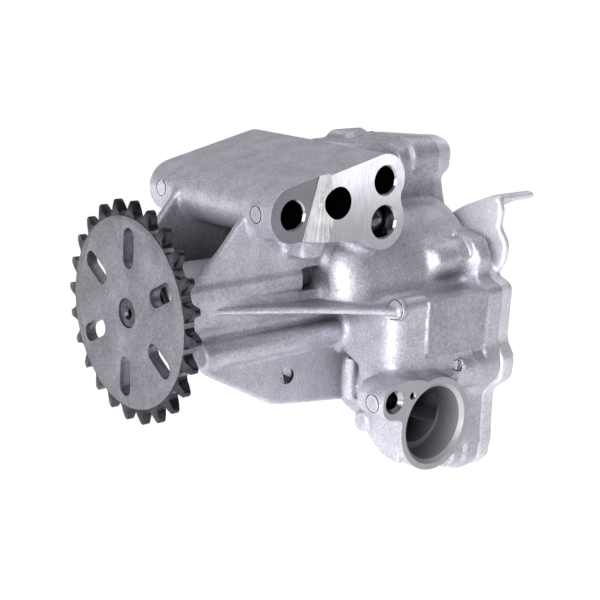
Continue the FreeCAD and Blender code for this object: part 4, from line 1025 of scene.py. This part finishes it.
@dataclass
class PumpHousing(Casting):
    """The main casting with its bolt arm, shaft tunnel, gear case and suction port."""

    BOLT_BORES: ClassVar[tuple[str, str]] = ("mounting_bore_a", "mounting_bore_b")

    node: str = "pump_housing"
    slot: str = "cast_aluminium"
    # Parts of the casting, in metres, whose sections are carried past a machined plane.
    seat_a_part: tuple = ((0.026, -1, 0.012), (0.0532, 1, 0.052))
    seat_b_part: tuple = ((0.0532, -1, 0.010), (0.084, 1, 0.052))
    port_part: tuple = ((0.056, -1, -0.058), (0.104, 1, -0.018))
    crankcase_part: tuple = ((0.026, -1, 0.010), (0.086, 1, 0.052))
    # (X, Z) corners of the blocks that mill the planes.
    seat_block_mm: tuple = ((24, 9), (86, 54))
    port_block_mm: tuple = ((54, -60), (105, -16))
    crankcase_block_mm: tuple = ((24, 8), (88, 54))
    seat_room_mm: float = 12.0
    # The slanted ridge between the bolt seats: (X, Z) ends of its foot and of its crest.
    ridge_low_mm: tuple = ((41.8, 16.0), (49.2, 40.0))
    ridge_high_mm: tuple = ((48.4, 16.0), (49.7, 40.0))
    ridge_span_mm: tuple = (12.0, 47.0)
    ridge_left_mm: float = 24.0
    ridge_room_mm: float = 2.0
    seat_skin_mm: float = 0.05
    screw_chamfer_mm: float = 1.2
    port_chamfer_mm: float = 1.2
    port_lip_mm: float = 1.5
    throat_mm: tuple = ((0.0, 10.6), (0.5, 10.6), (14.3, 8.7))
    throat_shift_mm: float = 1.3
    throat_overlap_mm: float = 0.5
    bore_chamfer_mm: float = 0.5
    bore_extra_mm: float = 8.0
    ball_bore_depth_mm: float = 14.0
    wing_hole_mm: tuple = (51.0, -12.0, -26.0)
    wing_hole_radius_mm: float = 2.7
    wing_hole_depth_mm: float = 4.6
    wing_web_mm: tuple = (-9.8, -6.6)
    drill_tip_mm: tuple = (1.0, 0.3)
    # The raised plate on the inlet body: its (X, Z) corners and the Y of its face.
    plate_mm: tuple = ((84.0, -1.2), (111.2, -0.9), (108.2, -19.8), (84.2, -18.8))
    plate_face_mm: float = -37.7
    plate_proud_mm: float = 1.5
    plate_depth_mm: float = 4.0
    plate_end_mm: float = 0.2
    # (Y, Z, radius, lowest X, highest X) of the parts where outer edges are rounder.
    melted_mm: tuple = ((-22.0, 7.4, 11.5, 90.0, 114.0), (-33.0, -26.0, 9.5, 92.0, 109.0))
    pin_hole_mm: tuple = (74.1, -28.1)
    pin_hole_radius_mm: float = 0.85
    pin_hole_depth_mm: float = 6.0
    pin_hole_chamfer_mm: float = 0.4
    # (X, Y, Z, radius) of the ejector pins' marks, which face along -X.
    pin_marks_mm: tuple = (
        (30.9, -17.3, 28.3, 2.9),
        (30.9, 30.3, 29.0, 2.9),
        (73.0, -33.6, -2.6, 3.5),
        (61.6, -37.4, -29.4, 3.2),
        (99.0, -37.0, -24.0, 2.2),
    )
    pin_depth_mm: float = 2.0
    pin_rim_mm: float = 0.25
    pin_groove_mm: float = 0.35

    def build(self, cast: Material, milled: Material) -> Object:
        """Make the housing.

        Args:
            cast: The finish of the cast skin.
            milled: The finish of machined faces and bores.

        Returns:
            The piece that stands for the housing.
        """
        seat_a, seat_b = mouth("mounting_bore_a"), mouth("mounting_bore_b")
        suction = mouth("suction_port")
        crankcase = mount("crankcase_face")["pos_m"][1]
        room = self.joint_room_mm * MM
        skin = CastField(self.node, self.pitch_mm * MM)
        self.fill_bores(skin)
        for side, plane, reach, part in (
            (Side.LOW, seat_a.y, seat_a.y - seat_b.y + room, self.seat_a_part),
            (Side.LOW, seat_b.y, room, self.seat_b_part),
            (Side.LOW, suction.y, room, self.port_part),
            (Side.HIGH, crankcase, room, self.crankcase_part),
        ):
            skin.lengthen(Axis.Y, side, plane, reach, *part)
        melted = [
            RoundZone(Axis.X, (y * MM, z * MM), radius * MM, low * MM, high * MM)
            for y, z, radius, low, high in self.melted_mm
        ]
        skin.soften(self.edge_mm * MM, self.corner_mm * MM, self.kept(), melted)
        for x, y, z, radius in self.pin_marks_mm:
            end = (x + self.pin_depth_mm) * MM
            skin.fill(RoundZone(Axis.X, (y * MM, z * MM), radius * MM, x * MM, end))
        face = self.plate_face_mm
        skin.fill_prism(self.plate_mm, face - self.plate_proud_mm, face + self.plate_depth_mm)
        mesh = skin.mesh(self.node + "_cast")
        mesh.materials.append(cast)
        piece = object_from("housing_casting", mesh)
        self.press_plate(piece)
        self.mill_planes(piece, milled, seat_b.y, suction.y, crankcase)
        self.mill_ridge(piece, seat_a.y, seat_b.y)
        self.bore_port(piece, BORED_ALUMINIUM.build())
        self.bore_holes(piece, milled)
        return self.dress(piece)

    def fill_bores(self, skin: CastField) -> None:
        """Close the machined bores, which are cut again after softening.

        Args:
            skin: The casting's distances.
        """
        seat = mouth("mounting_bore_a").y
        bolts, oil, screw = self.BOLT_BORES, "oil_gallery_bore", "strainer_screw_hole"
        for name in (*bolts, oil, screw):
            found = mount(name)
            half = found["dims"]["length_mm"] * MM / 2
            x, y, z = found["pos_m"]
            radius = found["dims"]["r_mm"] * MM + skin.pitch
            start = y - half if name == screw else min(y - half, seat)
            skin.fill(RoundZone(Axis.Y, (x, z), radius, start, y + half))
            if name == oil:
                lip = radius + self.port_chamfer_mm * MM
                end = y - half + self.port_lip_mm * MM
                skin.fill(RoundZone(Axis.Y, (x, z), lip, start, end))
        low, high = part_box("gallery_ball")
        middle = (low + high) / 2
        start = mouth("mounting_bore_b").y
        radius = (high.x - low.x) / 2 + skin.pitch
        end = start + self.ball_bore_depth_mm * MM + skin.pitch
        skin.fill(RoundZone(Axis.Y, (middle.x, middle.z), radius, start, end))
        port = mount("suction_port")
        half = port["dims"]["length_mm"] * MM / 2
        x, y, z = port["pos_m"]
        radius = port["dims"]["r_mm"] * MM + skin.pitch
        skin.fill(RoundZone(Axis.Y, (x, z), radius, y - half, y + half - skin.pitch))
        x, _, z = (v * MM for v in self.wing_hole_mm)
        radius = self.wing_hole_radius_mm * MM + skin.pitch
        start, end = (v * MM for v in self.wing_web_mm)
        skin.fill(RoundZone(Axis.Y, (x, z), radius, start, end))

    def mill_planes(
        self, piece: Object, milled: Material, seat: float, suction: float, crankcase: float
    ) -> None:
        """Mill the bolt seats, the suction face, the crankcase face and the cover joint.

        Args:
            piece: The casting.
            milled: The finish of the faces.
            seat: Y of the higher bolt seat, in metres.
            suction: Y of the suction face.
            crankcase: Y of the crankcase face.
        """
        tool = bmesh.new()
        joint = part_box("rear_cover")[0].x
        seat, suction, crankcase, joint = (v / MM for v in (seat, suction, crankcase, joint))
        room = self.cut_room_mm
        for start, end, corners in (
            (seat - self.seat_room_mm, seat, self.seat_block_mm),
            (suction - room, suction, self.port_block_mm),
            (crankcase, crankcase + room, self.crankcase_block_mm),
        ):
            (x0, z0), (x1, z1) = corners
            box_solid(tool, (x0, start, z0), (x1, end, z1))
        self.cut_joint(tool, joint, joint + room)
        carve(piece, tool, milled)

    def press_plate(self, piece: Object) -> None:
        """Flatten the raised plate on the inlet body to a plain, crisp edged face.

        Args:
            piece: The casting.
        """
        tool = bmesh.new()
        xs, zs = zip(*self.plate_mm)
        face, proud = self.plate_face_mm, 2 * self.plate_proud_mm
        low = (min(xs) - 1, face - proud, min(zs) - 1)
        box_solid(tool, low, (max(xs) + self.plate_end_mm, face, max(zs) + 1))
        carve(piece, tool, PLAIN_CAST_ALUMINIUM.build())

    def ridge_corners(self, lean: float, y: float) -> list[Vector]:
        """Find the corners of the lower seat's cutter at one level.

        Args:
            lean: Where its slanted side is, from 0 at the ridge's foot to 1 at its crest.
            y: The level, in metres.

        Returns:
            Four corners in order, in metres.
        """
        left, (bottom, top) = self.ridge_left_mm, self.ridge_span_mm
        right = []
        for z in (bottom, top):
            foot, crest = (
                x0 + (x1 - x0) * (z - z0) / (z1 - z0)
                for (x0, z0), (x1, z1) in (self.ridge_low_mm, self.ridge_high_mm)
            )
            right.append(foot + (crest - foot) * lean)
        outline = ((left, bottom), (right[0], bottom), (right[1], top), (left, top))
        return [Vector((x * MM, y, z * MM)) for x, z in outline]

    def mill_ridge(self, piece: Object, low: float, high: float) -> None:
        """Mill the lower bolt seat, which rises to the higher one in a slanted ridge.

        Args:
            piece: The casting.
            low: Y of the lower seat, in metres.
            high: Y of the higher seat.
        """
        outer = high - self.ridge_room_mm * MM
        lean = (low - outer) / (low - high)
        floor = self.ridge_corners(0.0, low - self.seat_skin_mm * MM)
        tool = bmesh.new()
        hexahedron(tool, floor, self.ridge_corners(lean, outer))
        carve(piece, tool, FAN_MILLED_ALUMINIUM.build())
        tool = bmesh.new()
        seat = [Vector((p.x, low, p.z)) for p in floor]
        hexahedron(tool, [p - Vector((0, MM, 0)) for p in seat], seat)
        carve(piece, tool, END_MILLED_ALUMINIUM.build())

    def bore_port(self, piece: Object, bored: Material) -> None:
        """Bore the suction port with its chamfer, and the throat behind it.

        Args:
            piece: The casting.
            bored: The finish of the bore.
        """
        tool = bmesh.new()
        start, inward = mouth("suction_port"), Vector((0, 1, 0))
        port = mount("suction_port")["dims"]
        radius, depth = port["r_mm"], port["length_mm"]
        lathe(tool, start, inward, chamfered(radius, depth, self.port_chamfer_mm))
        carve(piece, tool, bored)
        # The throat is cut again in the bored finish, whose painted shade makes it dark deep
        # inside.
        tool = bmesh.new()
        shift = self.throat_shift_mm * MM
        floor = start + Vector((shift, (depth - self.throat_overlap_mm) * MM, shift))
        lathe(tool, floor, inward, self.throat_mm)
        carve(piece, tool, bored)

    def bore_holes(self, piece: Object, milled: Material) -> None:
        """Drill the bores with their chamfers, and the ejector pins' ring marks.

        Args:
            piece: The casting.
            milled: The finish of the bores.
        """
        tool = bmesh.new()
        inward = Vector((0, 1, 0))
        chamfer = self.bore_chamfer_mm
        for name in self.BOLT_BORES:
            dims = mount(name)["dims"]
            depth = dims["length_mm"] + self.bore_extra_mm
            lathe(tool, mouth(name), inward, chamfered(dims["r_mm"], depth, chamfer, 6.0))
        oil = mount("oil_gallery_bore")["dims"]
        profile = ((-self.bore_extra_mm, oil["r_mm"]), (oil["length_mm"], oil["r_mm"]))
        lathe(tool, mouth("oil_gallery_bore"), inward, profile)
        low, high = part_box("gallery_ball")
        middle = (low + high) / 2
        radius = (high.x - low.x) / 2 / MM
        start = Vector((middle.x, mouth("mounting_bore_b").y, middle.z))
        lathe(tool, start, inward, chamfered(radius, self.ball_bore_depth_mm, chamfer))
        screw = mount("strainer_screw_hole")["dims"]
        profile = chamfered(screw["r_mm"], screw["length_mm"], self.screw_chamfer_mm)
        lathe(tool, mouth("strainer_screw_hole"), inward, profile)
        x, z = (v * MM for v in self.pin_hole_mm)
        profile = chamfered(
            self.pin_hole_radius_mm, self.pin_hole_depth_mm, self.pin_hole_chamfer_mm
        )
        lathe(tool, Vector((x, mouth("suction_port").y, z)), inward, profile)
        radius, depth = self.wing_hole_radius_mm, self.wing_hole_depth_mm
        tip, tip_radius = self.drill_tip_mm
        profile = ((0, radius), (depth - tip, radius), (depth, tip_radius))
        lathe(tool, Vector([v * MM for v in self.wing_hole_mm]), inward, profile, 48)
        groove = self.pin_groove_mm
        for x, y, z, radius in self.pin_marks_mm:
            outer = radius - self.pin_rim_mm
            inner = outer - groove
            section = ((-1, inner), (-1, outer), (groove, outer), (groove, inner))
            place = Vector((x * MM, y * MM, z * MM))
            lathe(tool, place, Vector((1, 0, 0)), section, 64, hollow=True)
        carve(piece, tool, milled)


@dataclass
class RearCover(Casting):
    """The cover behind the gears, with its thin lug and finger."""

    node: str = "rear_cover"
    slot: str = "cover_aluminium"

    def build(self, cast: Material, milled: Material) -> Object:
        """Make the cover.

        Args:
            cast: The finish of the cast skin.
            milled: The finish of the joint face.

        Returns:
            The piece that stands for the cover.
        """
        skin = CastField(self.node, self.pitch_mm * MM)
        skin.soften(self.edge_mm * MM, self.corner_mm * MM, self.kept(), [])
        mesh = skin.mesh(self.node + "_cast")
        mesh.materials.append(cast)
        piece = object_from("cover_casting", mesh)
        tool = bmesh.new()
        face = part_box(self.node)[0].x / MM
        self.cut_joint(tool, face - self.cut_room_mm, face)
        carve(piece, tool, milled)
        return self.dress(piece)


@dataclass
class ChainSprocket:
    """The toothed wheel, with its sharp corners broken."""

    node: str = "drive_sprocket"
    corner_mm: float = 0.22
    corner_angle: float = 40.0
    disc_radius_mm: float = 28.2
    weld_mm: float = 0.002
    flat_angle: float = 0.5

    def build(self, finish: Material, teeth: Material) -> Object:
        """Make the sprocket.

        Args:
            finish: The disc's finish.
            teeth: The finish of the toothed ring.

        Returns:
            The piece that stands for the sprocket.
        """
        solid = bmesh.new()
        solid.from_mesh(frame["nodes"][self.node].data)
        bmesh.ops.remove_doubles(solid, verts=solid.verts, dist=self.weld_mm * MM)
        flat = math.radians(self.flat_angle)
        bmesh.ops.dissolve_limit(solid, angle_limit=flat, verts=solid.verts, edges=solid.edges)
        mesh = bpy.data.meshes.new(self.node + "_wheel")
        solid.to_mesh(mesh)
        solid.free()
        mesh.materials.clear()
        mesh.materials.append(finish)
        mesh.materials.append(teeth)
        for face in mesh.polygons:
            outer = max(math.hypot(*mesh.vertices[v].co.yz) for v in face.vertices)
            face.material_index = int(outer > self.disc_radius_mm * MM)
        piece = object_from("sprocket_wheel", mesh)
        mesh.polygons.foreach_set("use_smooth", [True] * len(mesh.polygons))
        bevel = piece.modifiers.new("broken_corners", "BEVEL")
        bevel.width = self.corner_mm * MM
        bevel.segments = 2
        bevel.limit_method = "ANGLE"
        bevel.angle_limit = math.radians(self.corner_angle)
        bevel.harden_normals = True
        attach(piece, "drive_rotor")
        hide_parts(self.node)
        return piece


class Hardware:
    """The pieces whose CAD shape is right as it is: they only get their finish."""

    FINISHES = {
        BLACK_STEEL: ("drive_shaft",),
        GROUND_STEEL: ("gear_key", "idler_shaft", "relief_piston", "dowel_pins", "gallery_ball"),
        SINTERED_STEEL: ("drive_gear", "driven_gear", "thrust_washer", "relief_spring"),
        BEARING_BRONZE: ("driven_gear_bush", "front_bush", "chamber_bush", "cover_bush"),
        ZINC_PLATE: ("relief_plug", "mounting_sleeves", "cover_screws"),
        COPPER: ("plug_seal_ring",),
    }

    def dress(self) -> None:
        """Give each node its finish."""
        for finish, nodes in self.FINISHES.items():
            material = finish.build()
            for name in nodes:
                node = frame["nodes"][name]
                if not node.material_slots:
                    node.data.materials.append(material)
                for held in node.material_slots:
                    held.material = material
                LOG.info("%s is dressed in %s", name, finish.name)


@dataclass
class Lamp:
    """A soft box that looks at the object."""

    name: str
    place: tuple[float, float, float]
    width: float
    height: float
    power: float

    def build(self, target: Vector) -> None:
        """Hang the lamp.

        Args:
            target: The point that it is aimed at.
        """
        light = bpy.data.lights.new(self.name, "AREA")
        light.shape = "RECTANGLE"
        light.size = self.width
        light.size_y = self.height
        light.energy = self.power
        lamp = bpy.data.objects.new(self.name, light)
        lamp.location = self.place
        lamp.rotation_euler = (target - Vector(self.place)).to_track_quat("-Z", "Y").to_euler()
        lamp.visible_camera = False
        bpy.context.scene.collection.objects.link(lamp)


@dataclass(frozen=True)
class Glow:
    """A soft bright part of the studio's walls and ceiling.

    It is full up to the inner angle from its direction and gone at the outer one, in degrees.
    """

    towards: tuple[float, float, float]
    outer: float
    inner: float
    strength: float


@dataclass
class Studio:
    """The floor, the light and the camera."""

    target: Vector = field(default_factory=lambda: Vector((0.065, 0.0, -0.01)))
    floor_drop: float = 0.50
    floor_size: float = 60.0
    camera_place: tuple[float, float, float] = (-0.20086, -0.30607, 0.09893)
    azimuth: float = -40.83
    elevation: float = 14.47
    roll: float = 1.87
    lens: float = 78.54
    sensor: float = 36.0
    walls: float = 0.12
    paper_glow: float = 0.70
    glows: tuple[Glow, ...] = (
        Glow((0.1, -0.1, 1.0), 65.0, 15.0, 0.28),
        Glow((0.465, 0.733, 0.50), 50.0, 10.0, 0.35),
    )
    lamps: tuple[Lamp, ...] = (
        Lamp("key_box", (-0.96, -0.50, 0.20), 1.0, 0.8, 19.0),
        Lamp("back_box", (-0.70, 0.64, -0.05), 0.6, 0.5, 1.5),
        Lamp("top_box", (0.70, 0.10, 0.80), 0.5, 0.6, 1.2),
        Lamp("seat_box", (0.735, -0.750, -0.09), 0.08, 0.08, 0.12),
    )

    def build(self) -> None:
        """Set up the floor, the world, the lamps and the camera."""
        self.lay_floor()
        self.light_world()
        for lamp in self.lamps:
            lamp.build(self.target)
        self.place_camera()

    def lay_floor(self) -> None:
        """Lay a wide pale floor well below the pump."""
        low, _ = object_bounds()
        half = self.floor_size / 2
        level = low.z - self.floor_drop
        solid = bmesh.new()
        corners = ((-half, -half), (half, -half), (half, half), (-half, half))
        solid.faces.new([solid.verts.new((x, y, level)) for x, y in corners])
        mesh = bpy.data.meshes.new("floor")
        solid.to_mesh(mesh)
        solid.free()
        floor = object_from("floor", mesh)
        mesh.materials.append(self.paper())
        floor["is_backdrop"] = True

    def paper(self) -> Material:
        """Make the floor's white paper, which the camera and the metal see as white.

        Returns:
            The paper's material.
        """
        material = bpy.data.materials.new("paper_white")
        material.use_nodes = True
        tree = material.node_tree
        tree.nodes.clear()
        path = add_node(tree, "ShaderNodeLightPath")
        seen = path.outputs["Is Camera Ray"]
        for kind in ("Is Glossy Ray", "Is Transmission Ray"):
            seen = add_node(
                tree, "ShaderNodeMath", {"operation": "MAXIMUM"}, {0: seen, 1: path.outputs[kind]}
            ).outputs[0]
        strength = add_node(
            tree, "ShaderNodeMath", {"operation": "MULTIPLY", 1: self.paper_glow}, {0: seen}
        )
        glow = add_node(
            tree, "ShaderNodeEmission", {"Color": (1, 1, 1, 1)}, {"Strength": strength.outputs[0]}
        )
        matt = add_node(tree, "ShaderNodeBsdfDiffuse", {"Color": linear("#FCFCFC")})
        both = add_node(tree, "ShaderNodeAddShader", links={0: glow.outputs[0], 1: matt.outputs[0]})
        add_node(tree, "ShaderNodeOutputMaterial", links={"Surface": both.outputs[0]})
        return material

    def light_world(self) -> None:
        """Make plain walls with soft glows overhead and high behind the pump."""
        world = bpy.data.worlds.new("studio")
        bpy.context.scene.world = world
        world.use_nodes = True
        tree = world.node_tree
        tree.nodes.clear()
        place = add_node(tree, "ShaderNodeTexCoord")
        total = add_node(tree, "ShaderNodeValue").outputs[0]
        total.default_value = self.walls
        for glow in self.glows:
            turn = add_node(
                tree,
                "ShaderNodeVectorMath",
                {"operation": "DOT_PRODUCT", 1: tuple(Vector(glow.towards).normalized())},
                {0: place.outputs["Generated"]},
            )
            edges = tuple(math.cos(math.radians(a)) for a in (glow.outer, glow.inner))
            settings = span_settings(edges, (0.0, glow.strength))
            settings["interpolation_type"] = "SMOOTHSTEP"
            share = add_node(
                tree, "ShaderNodeMapRange", settings, {"Value": turn.outputs["Value"]}
            )
            total = add_node(
                tree, "ShaderNodeMath", {"operation": "ADD"}, {0: total, 1: share.outputs[0]}
            ).outputs[0]
        white = add_node(tree, "ShaderNodeBackground", {"Color": (1, 1, 1, 1)}, {"Strength": total})
        add_node(tree, "ShaderNodeOutputWorld", links={"Surface": white.outputs[0]})

    def place_camera(self) -> None:
        """Set the camera where the photograph was taken from, as solved from the wheel."""
        turn, lift, roll = (math.radians(a) for a in (self.azimuth, self.elevation, self.roll))
        ahead = Vector(
            (-math.sin(turn) * math.cos(lift), math.cos(turn) * math.cos(lift), -math.sin(lift))
        )
        level = Vector((math.cos(turn), math.sin(turn), 0))
        upright = level.cross(ahead)
        right = level * math.cos(roll) + upright * math.sin(roll)
        up = upright * math.cos(roll) - level * math.sin(roll)
        data = bpy.data.cameras.new("camera")
        data.sensor_width = self.sensor
        data.lens = self.lens
        data.clip_start = 0.01
        data.clip_end = 90.0
        camera = bpy.data.objects.new("camera", data)
        bpy.context.scene.collection.objects.link(camera)
        rows = zip(right, up, -ahead, self.camera_place)
        camera.matrix_world = Matrix((*rows, (0, 0, 0, 1)))
        bpy.context.scene.camera = camera


def main() -> None:
    """Build the pump's looks and its studio."""
    logging.basicConfig(level=logging.INFO, format="%(name)s: %(message)s")
    bpy.context.scene.view_settings.view_transform = "Standard"
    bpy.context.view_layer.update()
    milled = MILLED_ALUMINIUM.build()
    for piece in (
        PumpHousing().build(CAST_ALUMINIUM.build(), milled),
        RearCover().build(PAINTED_LIGHT_COVER_ALUMINIUM.build(), milled),
        ChainSprocket().build(SINTERED_STEEL.build(), HARDENED_STEEL.build()),
    ):
        LOG.info("%s has %d faces", piece.name, len(piece.data.polygons))
    Hardware().dress()
    Studio().build()


if __name__ == "__main__":
    main()
